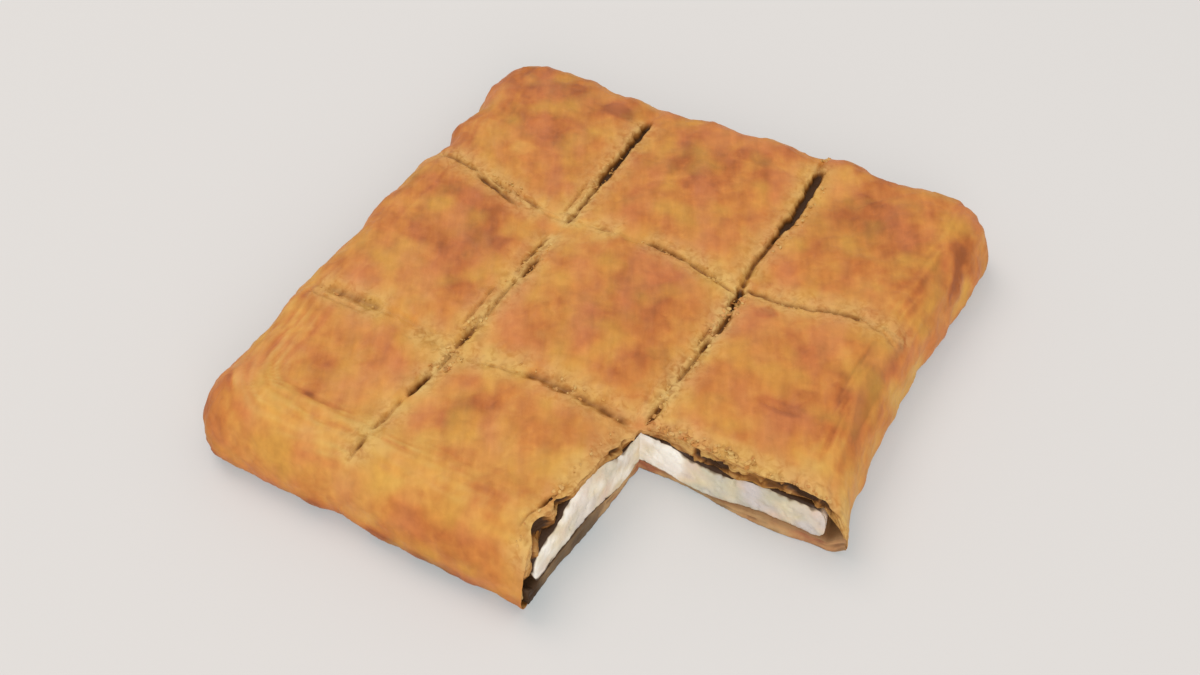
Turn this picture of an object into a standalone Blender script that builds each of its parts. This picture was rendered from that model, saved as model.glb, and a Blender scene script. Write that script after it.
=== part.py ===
"""A cheese pie: a whole flaky pie baked in a square tin, scored into nine portions, with one corner
portion lifted out.

Three pieces lie on each other. The base crust is a sheet with its edges turned up, the cheese filling
is a slab, and the top crust is a lid that rolls down over the sides and tucks under at the hem. Each
piece is one closed grid of points: an upper skin and a lower skin over the same plan, joined by walls
round the outline and along the two cut faces. X runs along the front, towards the missing corner, and
Y runs away from the front. Sizes are in millimetres, and MM turns them into Blender's metres.
"""

import math

import bmesh
import bpy
from mathutils import Vector, noise

MM = 0.001

# The even plan, measured from its left front corner, and the middle of the whole outline in it
WIDTH = 242.0
DEPTH = 257.0
CORNER_RADIUS = 22.0
SCORE_A_X = 80.0
SCORE_B_X = 160.0
SCORE_D_Y = 74.0
SCORE_C_Y = 157.0
MIDDLE = (123.2, 125.9)

# Where each knife line really runs, as (distance along it, place across it). The two cut faces of the
# missing portion carry on lines B and D.
SCORE_A = ((14, 76.5), (50, 79.5), (85, 81.5), (127, 83.5), (160, 85), (205, 85), (235, 85))
SCORE_B = ((0, 152.5), (20, 153), (34, 155), (50, 157), (60, 158), (74, 161), (85, 163), (137, 165.5),
           (157, 164.5), (175, 163.5), (205, 166.5), (243, 163))
SCORE_C = ((19, 166), (71, 154), (98, 158), (130, 158), (160, 152), (208, 160))
SCORE_D = ((22, 74), (39, 75), (79, 71), (112, 75), (139, 74), (160, 73.5), (190, 73.2), (242, 73.5))

# How the four sides bulge between the knife lines, as (distance along the side, place across it)
LEFT_SIDE = ((0, 2.5), (25, 4), (40, 3.7), (53, 4.3), (73, 0.8), (92, 2.4), (107, 3.4), (122, 0.9),
             (140, 3.2), (153, 2.2), (170, 7.6), (184, 3.6), (201, 6.8), (222, 2.2), (238, 4), (257, 5.5))
RIGHT_SIDE = ((0, 246), (66, 246), (75, 245.4), (80, 243.8), (88, 241.6), (98, 240.2), (110, 239.3),
              (150, 239), (168, 239.6), (184, 241), (200, 242.2), (224, 244), (257, 244))
FRONT_SIDE = ((0, -1), (60, -2), (76, -1), (110, -3), (151, -2.8), (242, -2))
BACK_SIDE = ((0, 248.5), (32, 250.4), (44, 250.8), (56, 247.6), (66, 248.6), (80, 247.4), (95, 247),
             (107, 250.6), (120, 248.9), (132, 251.6), (141, 251.8), (156, 250.3), (165, 254.2), (173, 255),
             (185, 250.2), (194, 250.2), (208, 252.8), (218, 253.2), (227, 251), (242, 250.6))

# Heights above the table. The lip is the stretch of the right side's hem at the cut, which flares up.
TOP_HEIGHT = 29.0
BULGE_HEIGHT = 8.0
HEM_HEIGHT = 0.6
LIP_HEIGHT = 5.0

# The rolled sides: how far in the roll ends, and how far the hem tucks under
SHOULDER = 16.0
SHOULDER_RIGHT = 20.0
HEM_TUCK = 5.0
LIP_TUCK = 1.4
RIGHT_FADE = 40.0
LIP_FADE = 45.0

# The lid's thickness: in its sides, in its front side at the cut, at the lip and on top
RIM_THICKNESS = 3.2
RIM_AT_CUT = 4.9
LIP_THICKNESS = 2.4
LID_THICKNESS = 4.2

# Along the two cut faces the lid and the base vary, as (distance along the face, thickness). LEFT is the
# face that follows line B, and BACK is the one that follows line D. Both meet at the inner corner.
LID_LEFT = ((0, 6), (10, 7.6), (18, 7.6), (25, 6), (31, 3.4), (40, 2.8), (50, 3), (57, 4), (65, 4.8), (70, 3.4),
            (74, 3))
LID_BACK = ((160, 3), (165, 5), (170, 6), (179, 9), (195, 9.5), (202, 8), (212, 7.4), (242, 7.4))
BASE_LEFT = ((0, 4), (20, 5), (30, 6.4), (40, 8), (48, 7), (56, 4.2), (65, 2.6), (74, 4.6))
BASE_BACK = ((160, 4.6), (170, 4), (180, 2.4), (190, 2), (198, 3.4), (210, 5), (232, 4))
CUT_FADE = 25.0

# The left cut face leans: its foot stands out, and from a height on its top is drawn in
LEAN_FOOT = 1.5
LEAN_TOP = -1.5
LEAN_FROM = 22.0
LEAN_FADE = 24.0
LEAN_OVER = 16.0

# The filling: how far in it starts, how round its edge is, and the gaps it leaves
FILLING_INSET = 9.8
FILLING_ROUND = 5.0
FILLING_EDGE_SHARE = 0.3
FILLING_MIDDLE_SHARE = 0.4
GAP_BELOW = 0.5
GAP_ABOVE = 0.9
GAP_ABOVE_SWELL = (17.0, 0.8)

# The base crust: its thickness and swells, and how its edge turns up inside the lid, more so at the lip
BASE_INSET = 6.4
BASE_LIP_REACH = 4.2
BASE_THICKNESS = 5.5
BASE_SWELL = (30.0, 0.8)
BASE_LIFT = 0.5
BASE_LIFT_LIP = 4.5
BASE_TURN_UP = 3.6
BASE_TURN_UP_LIP = 8.5
BASE_EDGE = 4.4
BASE_ROUND = 2.0
BASE_END_HEIGHT = 3.6
BASE_END_HEIGHT_LIP = 6.2

# How far the base stands proud of the filling along the cut faces
PROUD_LEFT = ((0, 0.3), (24, 0.6), (36, 0.6), (48, 0.4), (74, 0))
PROUD_BACK = ((160, 0), (185, 0.3), (205, 1.8), (218, 1.8), (228, 0.6), (242, 0.6))

# How far each portion's middle stands over its edges, front row first
CROWNS = ((0.8, 1.0, 0.0), (0.8, 1.8, 1.2), (1.0, 1.2, 1.0))
CROWN_POWER = 4.0

# The crossing at the inner corner of the cut, pressed down: (x, y, radius, depth)
PRESSED = (160, 72, 11.0, 4.5)

# The knife lines: a soft valley with a narrow slit in it. Each slit is (distance along it, depth).
VALLEY_DEPTH = 0.8
VALLEY_HALF_WIDTH = 4.0
VALLEY_REACH = 6.0
SLIT_HALF_WIDTH = 1.7
SLIT_A = ((6, 0), (16, 1.8), (50, 1.0), (90, 2.4), (130, 2.0), (157, 0.3), (180, 3.2), (222, 3.6), (234, 0))
SLIT_B = ((74, 0.8), (90, 2.2), (125, 2.6), (157, 0.6), (185, 2.4), (205, 3.8), (230, 3.8), (244, 0.4))
SLIT_C = ((8, 0.2), (26, 2.6), (70, 1.4), (80, 0.3), (112, 2.6), (150, 1.6), (160, 0.4), (215, 2), (236, 0))
SLIT_D = ((8, 0.3), (30, 1.6), (74, 0.6), (95, 2.0), (145, 2.4), (160, 0.8), (170, 0))

# The ridge that follows the front side, and the loose flakes that stand up, as (x, y, radius, height)
RIDGE_IN = 21.0
RIDGE_HALF_WIDTH = 7.0
RIDGE_HEIGHT = 1.6
FLAKES = (
    (162, 253, 3.0, 2.2),
    (170, 76, 3.0, 1.3),
    (187, 76, 3.5, 1.5),
    (203, 76, 3.0, 1.2),
    (79, 76, 2.5, 1.0),
    (163, 156, 2.5, 1.0),
)

# Uneven baking: (size of a swell across, its height)
SWELLS = ((38.0, 1.1), (15.0, 0.5))

# Relief of the cut faces, in from the cut: how deep the crust's layers gape, and how rough each piece is
LID_CUT_ROWS = 8
FILLING_CUT_ROWS = 5
BASE_CUT_ROWS = 2
LAYER_DEPTH = 2.0
LAYER_COUNT = 3
LAYER_RUN = 9.0
RAGGED_DEPTH = 0.5
RAGGED_RUN = 5.0
CRUMB_DEPTH = 0.5
CRUMB_RUN = 4.0

# The grids: the lid's rim, where a ring below 0 is under the bulge, its steps between the knife lines,
# and the two slabs' common step
LID_RIM = (-1.0, -0.5, 0.0, 0.7, 2.8, 6.5, 11.5, SHOULDER)
LID_COLUMN_COUNTS = (7, 8, 7)
LID_ROW_COUNTS = (6, 8, 9)
SLAB_RIM = 15.5
SLAB_STEP = 12.0

CRUST_COLOUR = (0.58, 0.26, 0.07, 1.0)
FILLING_COLOUR = (0.80, 0.74, 0.63, 1.0)
BASE_COLOUR = (0.42, 0.19, 0.07, 1.0)
SMOOTH_UNDER_DEGREES = 40.0


def remove_everything():
    for thing in list(bpy.data.objects):
        bpy.data.objects.remove(thing)


def smooth(t):
    """From 0 to 1 with level ends."""
    t = min(max(t, 0.0), 1.0)
    return t * t * (3 - 2 * t)


def mix(start, end, share):
    return start + (end - start) * share


def quarter_round(t):
    """A quarter circle's height, from 0 at its edge to 1 from t = 1 on."""
    return math.sqrt(1 - (1 - min(max(t, 0.0), 1.0)) ** 2)


def along(points, t):
    """The place across a line at the distance t along it, as a smooth curve through its points."""
    last = len(points) - 1
    if t <= points[0][0]:
        return points[0][1]
    if t >= points[last][0]:
        return points[last][1]
    i = max(k for k in range(last) if points[k][0] <= t)
    slopes = []
    for k in (i, i + 1):
        before = points[max(k - 1, 0)]
        after = points[min(k + 1, last)]
        slopes.append((after[1] - before[1]) / (after[0] - before[0]))
    span = points[i + 1][0] - points[i][0]
    s = (t - points[i][0]) / span
    start = points[i][1] * (1 + 2 * s) * (1 - s) ** 2 + slopes[0] * span * s * (1 - s) ** 2
    end = points[i + 1][1] * s * s * (3 - 2 * s) - slopes[1] * span * s * s * (1 - s)
    return start + end


def between(stations, value):
    """The offset at value, drawn evenly from those at the stations on either side."""
    for (low, low_offset), (high, high_offset) in zip(stations, stations[1:]):
        if value <= high:
            return mix(low_offset, high_offset, (value - low) / (high - low))
    return stations[-1][1]


def warp(x, y):
    """The real place of a point of the even plan: the sides bulge and the knife lines wander."""
    across = (
        (0.0, along(LEFT_SIDE, y)),
        (SCORE_A_X, along(SCORE_A, y) - SCORE_A_X),
        (SCORE_B_X, along(SCORE_B, y) - SCORE_B_X),
        (WIDTH, along(RIGHT_SIDE, y) - WIDTH),
    )
    away = (
        (0.0, along(FRONT_SIDE, x)),
        (SCORE_D_Y, along(SCORE_D, x) - SCORE_D_Y),
        (SCORE_C_Y, along(SCORE_C, x) - SCORE_C_Y),
        (DEPTH, along(BACK_SIDE, x) - DEPTH),
    )
    return x + between(across, x), y + between(away, y)


def rough(x, y, swell, seed):
    """Smooth noise over the plan, from a swell's (size across, height)."""
    size, height = swell
    return height * noise.noise(Vector((x / size, y / size, seed * 7.3)))


def round_corner(near_x, near_y):
    """Distances in from the two nearest sides, moved onto rings with round corners, and the outward
    direction there. Below zero a ring is under the bulge, and keeps the bulge's own outline."""
    ring = min(near_x, near_y)
    inside = max(ring, 0.0)
    radius = CORNER_RADIUS - inside
    if radius <= 0:
        return near_x, near_y, float(near_x <= near_y), float(near_x > near_y)
    reach = (max(near_x, near_y) - ring) * radius / (radius + inside - ring)
    turn = math.radians(45) * max(0.0, 1 - reach / radius)
    close = CORNER_RADIUS - radius * math.cos(turn)
    far = CORNER_RADIUS - radius * math.sin(turn) if reach < radius else max(near_x, near_y)
    if near_x <= near_y:
        return close, far, math.cos(turn), math.sin(turn)
    return far, close, math.sin(turn), math.cos(turn)


def place(column, row, inwards=0.0):
    """A grid position as (x, y) on the even plan, moved inwards along its ring's own direction."""
    left = column < WIDTH / 2
    front = row < DEPTH / 2
    near_x = column if left else WIDTH - column
    near_y = row if front else DEPTH - row
    in_x, in_y, out_x, out_y = round_corner(near_x, near_y)
    in_x += inwards * out_x
    in_y += inwards * out_y
    return (in_x if left else WIDTH - in_x), (in_y if front else DEPTH - in_y)


def ring_of(column, row):
    return min(column, row, WIDTH - column, DEPTH - row)


def right_share(x, y):
    """1 on the right side, 0 on the others."""
    nearest_other = min(x, y, DEPTH - y)
    return smooth((nearest_other - (WIDTH - x)) / RIGHT_FADE)


def lip_share(x, y):
    """1 where the right side ends at the cut, fading along the side."""
    return right_share(x, y) * smooth(1 - (y - SCORE_D_Y) / LIP_FADE)


def line_cut(distance, depth):
    """A knife line's depth below the crust at this distance from it: a valley and a slit."""
    valley = VALLEY_DEPTH * math.exp(-((distance / VALLEY_HALF_WIDTH) ** 2))
    return valley * smooth(depth * 2) + depth * max(0.0, 1 - abs(distance) / SLIT_HALF_WIDTH)


def crown(x, y):
    """How far a portion's middle stands up."""
    column = (x > SCORE_A_X) + (x > SCORE_B_X)
    row = (y > SCORE_D_Y) + (y > SCORE_C_Y)
    sides_x = (0.0, SCORE_A_X, SCORE_B_X, WIDTH)[column:column + 2]
    sides_y = (0.0, SCORE_D_Y, SCORE_C_Y, DEPTH)[row:row + 2]
    across = (2 * x - sides_x[0] - sides_x[1]) / (sides_x[1] - sides_x[0])
    away = (2 * y - sides_y[0] - sides_y[1]) / (sides_y[1] - sides_y[0])
    fall = (1 - abs(across) ** CROWN_POWER) * (1 - abs(away) ** CROWN_POWER)
    return CROWNS[row][column] * max(fall, 0.0)


def top_height(x, y):
    """The crust's uneven top without its knife lines, with the ridge that follows the front side."""
    height = TOP_HEIGHT + crown(x, y)
    for seed, swell in enumerate(SWELLS):
        height += rough(x, y, swell, seed)
    height += RIDGE_HEIGHT * math.exp(-(((y - RIDGE_IN) / RIDGE_HALF_WIDTH) ** 2))
    pressed_x, pressed_y, radius, depth = PRESSED
    return height - depth * math.exp(-((x - pressed_x) ** 2 + (y - pressed_y) ** 2) / radius ** 2)


def marks(x, y):
    """The knife lines and loose flakes on the crust."""
    change = -line_cut(x - SCORE_A_X, along(SLIT_A, y))
    change -= line_cut(x - SCORE_B_X, along(SLIT_B, y))
    change -= line_cut(y - SCORE_C_Y, along(SLIT_C, x))
    change -= line_cut(y - SCORE_D_Y, along(SLIT_D, x))
    for flake_x, flake_y, radius, height in FLAKES:
        apart = math.hypot(x - flake_x, y - flake_y)
        change += height * max(0.0, 1 - apart / radius)
    return change


def cut_share(x, y):
    """1 at the cut faces, fading to 0 inside."""
    apart = math.hypot(max(SCORE_B_X - x, 0.0), max(y - SCORE_D_Y, 0.0))
    return smooth(1 - apart / CUT_FADE)


def near_cut(x, y, left, back, inside):
    """A thickness that follows its lists along the cut faces and fades to an even one inside."""
    at_face = along(left, y) + along(back, x) - left[-1][1]
    return mix(inside, at_face, cut_share(x, y))


def lid_thickness(x, y):
    return near_cut(x, y, LID_LEFT, LID_BACK, LID_THICKNESS)


def leaning(x, y, z):
    """The real place of a point of the even plan at this height, near the leaning left cut face."""
    near = 0.0
    if x <= SCORE_B_X:
        near = smooth(1 - (SCORE_B_X - x) / LEAN_FADE) * smooth((SCORE_D_Y - y) / LEAN_OVER)
    lean = mix(LEAN_FOOT, LEAN_TOP, smooth((z - LEAN_FROM) / (TOP_HEIGHT - LEAN_FROM)))
    real_x, real_y = warp(x, y)
    return Vector((real_x + near * lean, real_y, z))


def lid_point(column, row, lower):
    """A point of the lid's outer skin, or of its underside."""
    ring = ring_of(column, row)
    x, y = place(column, row)
    lip = lip_share(x, y)
    shoulder = mix(SHOULDER, SHOULDER_RIGHT, right_share(x, y))
    turn = math.radians(90) * ring if ring < 0 else math.acos(max(0.0, 1 - ring / shoulder))
    out = math.cos(turn)
    up = math.sin(turn)
    inwards = 0.0
    if ring < 0:
        inwards = mix(HEM_TUCK, LIP_TUCK, lip) * (1 - out)
        z = BULGE_HEIGHT + (BULGE_HEIGHT - mix(HEM_HEIGHT, LIP_HEIGHT, lip)) * up
    else:
        top = top_height(x, y) + (0.0 if lower else marks(x, y))
        z = mix(BULGE_HEIGHT, top, up)
    if lower:
        rim = mix(RIM_THICKNESS, RIM_AT_CUT, cut_share(x, y) * (y < SCORE_D_Y))
        side = mix(rim, LIP_THICKNESS, lip)
        thickness = mix(side, lid_thickness(x, y), max(up, 0.0) ** 2)
        inwards += thickness * out
        z -= thickness * up
    x, y = place(column, row, inwards)
    return leaning(x, y, z)


def base_top(x, y):
    """The height of the base crust's upper skin."""
    return near_cut(x, y, BASE_LEFT, BASE_BACK, BASE_THICKNESS) + rough(x, y, BASE_SWELL, 5)


def filling_point(column, row, lower):
    """A point of the slab's top, or of its underside."""
    ring = ring_of(column, row) - FILLING_INSET
    x, y = place(column, row)
    roundness = quarter_round(ring / FILLING_ROUND)
    gap = GAP_ABOVE + GAP_ABOVE_SWELL[1] + rough(x, y, GAP_ABOVE_SWELL, 8)
    top = top_height(x, y) - lid_thickness(x, y) - gap
    bottom = base_top(x, y) + GAP_BELOW
    middle = mix(bottom, top, FILLING_MIDDLE_SHARE)
    z = mix(middle, bottom if lower else top, mix(FILLING_EDGE_SHARE, 1.0, roundness))
    return leaning(x, y, z)


def base_point(column, row, lower):
    """A point of the base crust's upper skin, or of its flat underside."""
    ring = ring_of(column, row) - BASE_INSET
    edge = 1 - smooth(ring / BASE_EDGE)
    x, y = place(column, row)
    lip = lip_share(x, y)
    if lower:
        z = mix(BASE_LIFT, BASE_LIFT_LIP, lip) * edge ** 2
    else:
        turned_up = base_top(x, y) + mix(BASE_TURN_UP, BASE_TURN_UP_LIP, lip) * edge
        z = mix(mix(BASE_END_HEIGHT, BASE_END_HEIGHT_LIP, lip), turned_up, quarter_round(ring / BASE_ROUND))
    x, y = place(column, row, -BASE_LIP_REACH * edge * lip)
    point = leaning(x, y, z)
    if column == SCORE_B_X and row <= SCORE_D_Y:
        point.x += along(PROUD_LEFT, row)
    if row == SCORE_D_Y and column >= SCORE_B_X:
        point.y -= along(PROUD_BACK, column)
    return point


def layered(point, outward, share):
    """Moves a point of the lid's cut face in, so that its layers gape and its edge is ragged."""
    run = point.x + point.y
    gape = LAYER_DEPTH * (0.5 - 0.5 * math.cos(share * math.tau * LAYER_COUNT))
    gape *= 1 + noise.noise(Vector((run / LAYER_RUN, 0, 0)))
    ragged = RAGGED_DEPTH * noise.noise(Vector((run / RAGGED_RUN, share * LAYER_COUNT, 0)))
    return point - outward * (gape + ragged)


def crumbly(point, outward, share):
    """Moves a point of a slab's cut face a little in."""
    run = point.x + point.y
    return point - outward * CRUMB_DEPTH * (1 + noise.noise(Vector((run / CRUMB_RUN, share * 4, 0))))


def spread(start, end, count):
    """Positions between start and end, without either."""
    return [mix(start, end, k / (count + 1)) for k in range(1, count + 1)]


def beside(line):
    """Positions that draw a knife line: its bottom, its lips and its valley's sides."""
    offsets = (-VALLEY_REACH, -SLIT_HALF_WIDTH, 0.0, SLIT_HALF_WIDTH, VALLEY_REACH)
    return [line + offset for offset in offsets]


def lid_positions(length, first_line, second_line, counts):
    """Grid positions of the lid along one direction."""
    positions = list(LID_RIM) + [length - p for p in LID_RIM]
    positions += beside(first_line) + beside(second_line)
    positions += spread(SHOULDER, first_line - VALLEY_REACH, counts[0])
    positions += spread(first_line + VALLEY_REACH, second_line - VALLEY_REACH, counts[1])
    positions += spread(second_line + VALLEY_REACH, length - SHOULDER, counts[2])
    return sorted(positions)


def slab_positions(length, rim, first_line, second_line):
    """Grid positions of a slab along one direction: its own near the sides, the same ones inside."""
    edges = (SLAB_RIM, first_line, second_line, length - SLAB_RIM)
    positions = list(rim) + [length - p for p in rim] + list(edges)
    for start, end in zip(edges, edges[1:]):
        positions += spread(start, end, round((end - start) / SLAB_STEP) - 1)
    return sorted(positions)


def grid_solid(name, columns, rows, point, relief, cut_rows, colour, roughness):
    """A closed solid between an upper and a lower skin over the plan, without the missing portion.

    point(column, row, lower) places a grid point of either skin. relief(point, outward, share) shapes
    the cut faces, where share runs from 0 at the upper skin to 1 at the lower one."""
    bm = bmesh.new()
    last_column = len(columns) - 1
    last_row = len(rows) - 1

    def kept(i, j):
        inside = 0 <= i < last_column and 0 <= j < last_row
        return inside and not (columns[i] >= SCORE_B_X and rows[j] < SCORE_D_Y)

    def outward(i, j):
        """The direction out of the cut faces at this grid point, or nothing off them."""
        on_left_face = columns[i] == SCORE_B_X and rows[j] <= SCORE_D_Y
        on_back_face = rows[j] == SCORE_D_Y and columns[i] >= SCORE_B_X
        return Vector((float(on_left_face), -float(on_back_face), 0.0))

    upper = {}
    lower = {}
    strings = {}
    for i, column in enumerate(columns):
        for j, row in enumerate(rows):
            if not any(kept(i - a, j - b) for a in (0, 1) for b in (0, 1)):
                continue
            first = point(column, row, False)
            last = point(column, row, True)
            facing = outward(i, j)
            shares = [k / cut_rows for k in range(cut_rows + 1)] if facing.length else (0.0, 1.0)
            strings[i, j] = []
            for share in shares:
                spot = first.lerp(last, share)
                if facing.length:
                    spot = relief(spot, facing, share)
                strings[i, j].append(bm.verts.new(spot * MM))
            upper[i, j] = strings[i, j][0]
            lower[i, j] = strings[i, j][-1]

    def wall(start, end):
        """The wall under the edge from one grid point to the next, with the solid on its left."""
        first = strings[start]
        second = strings[end]
        if len(first) != len(second):
            bm.faces.new(first + second[::-1])
            return
        for k in range(len(first) - 1):
            bm.faces.new((first[k], first[k + 1], second[k + 1], second[k]))

    for i in range(last_column):
        for j in range(last_row):
            if not kept(i, j):
                continue
            corners = ((i, j), (i + 1, j), (i + 1, j + 1), (i, j + 1))
            bm.faces.new([upper[corner] for corner in corners])
            bm.faces.new([lower[corner] for corner in reversed(corners)])
            neighbours = (kept(i, j - 1), kept(i + 1, j), kept(i, j + 1), kept(i - 1, j))
            for k, shared in enumerate(neighbours):
                if not shared:
                    wall(corners[k], corners[(k + 1) % 4])

    bmesh.ops.triangulate(bm, faces=bm.faces[:], quad_method="BEAUTY", ngon_method="BEAUTY")
    bmesh.ops.translate(bm, verts=bm.verts[:], vec=Vector((*MIDDLE, 0)) * -MM)
    mesh = bpy.data.meshes.new(name)
    bm.to_mesh(mesh)
    bm.free()
    mesh.shade_smooth()
    mesh.set_sharp_from_angle(angle=math.radians(SMOOTH_UNDER_DEGREES))
    mesh.materials.append(material(name, colour, roughness))
    piece = bpy.data.objects.new(name, mesh)
    bpy.context.scene.collection.objects.link(piece)


def material(name, colour, roughness):
    made = bpy.data.materials.new(name)
    made.use_nodes = True
    shader = made.node_tree.nodes["Principled BSDF"]
    shader.inputs["Base Color"].default_value = colour
    shader.inputs["Roughness"].default_value = roughness
    shader.inputs["Metallic"].default_value = 0.0
    made.diffuse_color = colour
    return made


def build_base_crust():
    rim = [BASE_INSET + p for p in (0.0, 0.8, BASE_ROUND, BASE_EDGE)]
    grid_solid(
        "base_crust",
        slab_positions(WIDTH, rim, SCORE_A_X, SCORE_B_X),
        slab_positions(DEPTH, rim, SCORE_D_Y, SCORE_C_Y),
        base_point, crumbly, BASE_CUT_ROWS, BASE_COLOUR, 0.7,
    )


def build_cheese_filling():
    rim = [FILLING_INSET + p for p in (0.0, 0.6, 2.0)]
    grid_solid(
        "cheese_filling",
        slab_positions(WIDTH, rim, SCORE_A_X, SCORE_B_X),
        slab_positions(DEPTH, rim, SCORE_D_Y, SCORE_C_Y),
        filling_point, crumbly, FILLING_CUT_ROWS, FILLING_COLOUR, 0.6,
    )


def build_top_crust():
    grid_solid(
        "top_crust",
        lid_positions(WIDTH, SCORE_A_X, SCORE_B_X, LID_COLUMN_COUNTS),
        lid_positions(DEPTH, SCORE_D_Y, SCORE_C_Y, LID_ROW_COUNTS),
        lid_point, layered, LID_CUT_ROWS, CRUST_COLOUR, 0.55,
    )


remove_everything()
build_base_crust()
build_cheese_filling()
build_top_crust()
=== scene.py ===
"""The looks of a square cheese pie with one corner portion lifted out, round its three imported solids.

Each solid is replaced by a fine mesh of the same form: the same upper skin, lower skin and cut faces, with
the baked surface, the gaping knife lines, the flaky layers and the crumbly cheese worked in. Loose flakes
and crumbs lie along the cuts. Sizes are in millimetres, and MM turns them into Blender's metres. X runs
along the front, towards the missing corner, and Y runs away from the front.
"""

import math
import random

import bpy
import numpy as np
from mathutils import Matrix, Vector, noise


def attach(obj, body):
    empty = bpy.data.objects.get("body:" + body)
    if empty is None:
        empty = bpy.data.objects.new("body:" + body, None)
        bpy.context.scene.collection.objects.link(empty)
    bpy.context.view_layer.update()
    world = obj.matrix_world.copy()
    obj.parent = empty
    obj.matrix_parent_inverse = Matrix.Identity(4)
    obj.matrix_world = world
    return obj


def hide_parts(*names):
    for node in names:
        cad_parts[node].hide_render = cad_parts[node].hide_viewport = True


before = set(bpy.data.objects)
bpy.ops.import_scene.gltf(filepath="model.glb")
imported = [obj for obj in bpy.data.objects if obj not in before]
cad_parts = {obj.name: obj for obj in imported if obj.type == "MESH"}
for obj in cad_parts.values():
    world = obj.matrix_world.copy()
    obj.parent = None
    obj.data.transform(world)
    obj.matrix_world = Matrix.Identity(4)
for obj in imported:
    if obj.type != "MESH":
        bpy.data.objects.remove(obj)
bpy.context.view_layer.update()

MM = 0.001

# ---- The pie's form, as its solids have it ----

WIDTH = 242.0
DEPTH = 257.0
CORNER_RADIUS = 22.0
SCORE_A_X = 80.0
SCORE_B_X = 160.0
SCORE_D_Y = 74.0
SCORE_C_Y = 157.0
MIDDLE = (123.2, 125.9)

# Where each knife line really runs, as (distance along it, place across it)
SCORE_A = ((14, 76.5), (50, 79.5), (85, 81.5), (127, 83.5), (160, 85), (205, 85), (235, 85))
SCORE_B = ((0, 152.5), (20, 153), (34, 155), (50, 157), (60, 158), (74, 161), (85, 163), (137, 165.5),
           (157, 164.5), (175, 163.5), (205, 166.5), (243, 163))
SCORE_C = ((19, 166), (71, 154), (98, 158), (130, 158), (160, 152), (208, 160))
SCORE_D = ((22, 74), (39, 75), (79, 71), (112, 75), (139, 74), (160, 73.5), (190, 73.2), (242, 73.5))

# How the four sides bulge, as (distance along the side, place across it)
LEFT_SIDE = ((0, 2.5), (25, 4), (40, 3.7), (53, 4.3), (73, 0.8), (92, 2.4), (107, 3.4), (122, 0.9),
             (140, 3.2), (153, 2.2), (170, 7.6), (184, 3.6), (201, 6.8), (222, 2.2), (238, 4), (257, 5.5))
RIGHT_SIDE = ((0, 246), (66, 246), (75, 245.4), (80, 243.8), (88, 241.6), (98, 240.2), (110, 239.3),
              (150, 239), (168, 239.6), (184, 241), (200, 242.2), (224, 244), (257, 244))
FRONT_SIDE = ((0, -1), (60, -2), (76, -1), (110, -3), (151, -2.8), (242, -2))
BACK_SIDE = ((0, 248.5), (32, 250.4), (44, 250.8), (56, 247.6), (66, 248.6), (80, 247.4), (95, 247),
             (107, 250.6), (120, 248.9), (132, 251.6), (141, 251.8), (156, 250.3), (165, 254.2), (173, 255),
             (185, 250.2), (194, 250.2), (208, 252.8), (218, 253.2), (227, 251), (242, 250.6))

TOP_HEIGHT = 29.0
BULGE_HEIGHT = 8.0
HEM_HEIGHT = 0.6
LIP_HEIGHT = 5.0
SHOULDER = 16.0
SHOULDER_RIGHT = 20.0
HEM_TUCK = 5.0
LIP_TUCK = 1.4
RIGHT_FADE = 40.0
LIP_FADE = 45.0
RIM_THICKNESS = 3.2
RIM_AT_CUT = 4.9
LIP_THICKNESS = 2.4
LID_THICKNESS = 4.2

# How thick the lid and the base are along the two cut faces, as (distance along the face, thickness)
LID_LEFT = ((0, 6), (10, 7.6), (18, 7.6), (25, 6), (31, 3.2), (40, 2.6), (50, 2.8), (57, 4), (65, 4.8),
            (70, 3.2), (74, 2.6))
LID_BACK = ((160, 2.6), (165, 5), (170, 6), (179, 9.6), (195, 10.4), (202, 8.6), (212, 7.6), (242, 7.4))
BASE_LEFT = ((0, 4), (20, 5), (30, 6.4), (40, 8), (48, 7), (56, 4.2), (65, 2.6), (74, 4.6))
BASE_BACK = ((160, 4.6), (170, 4), (180, 2.4), (190, 2), (198, 3.4), (210, 5), (232, 4))
CUT_FADE = 25.0

# The left cut face leans: its foot stands out, and from a height on its top is drawn in
LEAN_FOOT = 1.5
LEAN_TOP = -1.5
LEAN_FROM = 22.0
LEAN_FADE = 24.0
LEAN_OVER = 16.0

FILLING_INSET = 9.8
FILLING_ROUND = 5.0
FILLING_EDGE_SHARE = 0.3
FILLING_MIDDLE_SHARE = 0.4
GAP_BELOW = 0.5
GAP_ABOVE = 0.9
GAP_ABOVE_SWELL = (17.0, 0.8)
GAP_LEAST = 0.4
# How open the gap over the cheese is along the two cut faces, which also sets how much painted shade lies
# along the cheese's upper edge, as (distance along the face, share)
OPEN_LEFT = ((0, 1), (27, 1), (36, 0.25), (56, 0.3), (62, 1), (70, 0.8), (74, 0.2))
OPEN_BACK = ((160, 0.2), (166, 0.4), (174, 0.4), (179, 1), (195, 1), (201, 0.5), (210, 0.5), (216, 1),
             (242, 1))

# The base reaches a little further than its solid does, so that it meets the lid
BASE_INSET = 4.4
BASE_LIP_REACH = 3.4
BASE_THICKNESS = 5.5
BASE_SWELL = (30.0, 0.8)
BASE_LIFT = 0.5
BASE_LIFT_LIP = 4.5
BASE_TURN_UP = 3.6
BASE_TURN_UP_LIP = 8.5
BASE_EDGE = 4.4
BASE_ROUND = 2.0
BASE_END_HEIGHT = 3.6
BASE_END_HEIGHT_LIP = 6.2
PROUD_LEFT = ((0, 0.3), (24, 0.6), (36, 0.6), (48, 0.4), (74, 0))
PROUD_BACK = ((160, 0), (185, 0.3), (205, 1.8), (218, 1.8), (228, 0.6), (242, 0.6))

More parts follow.
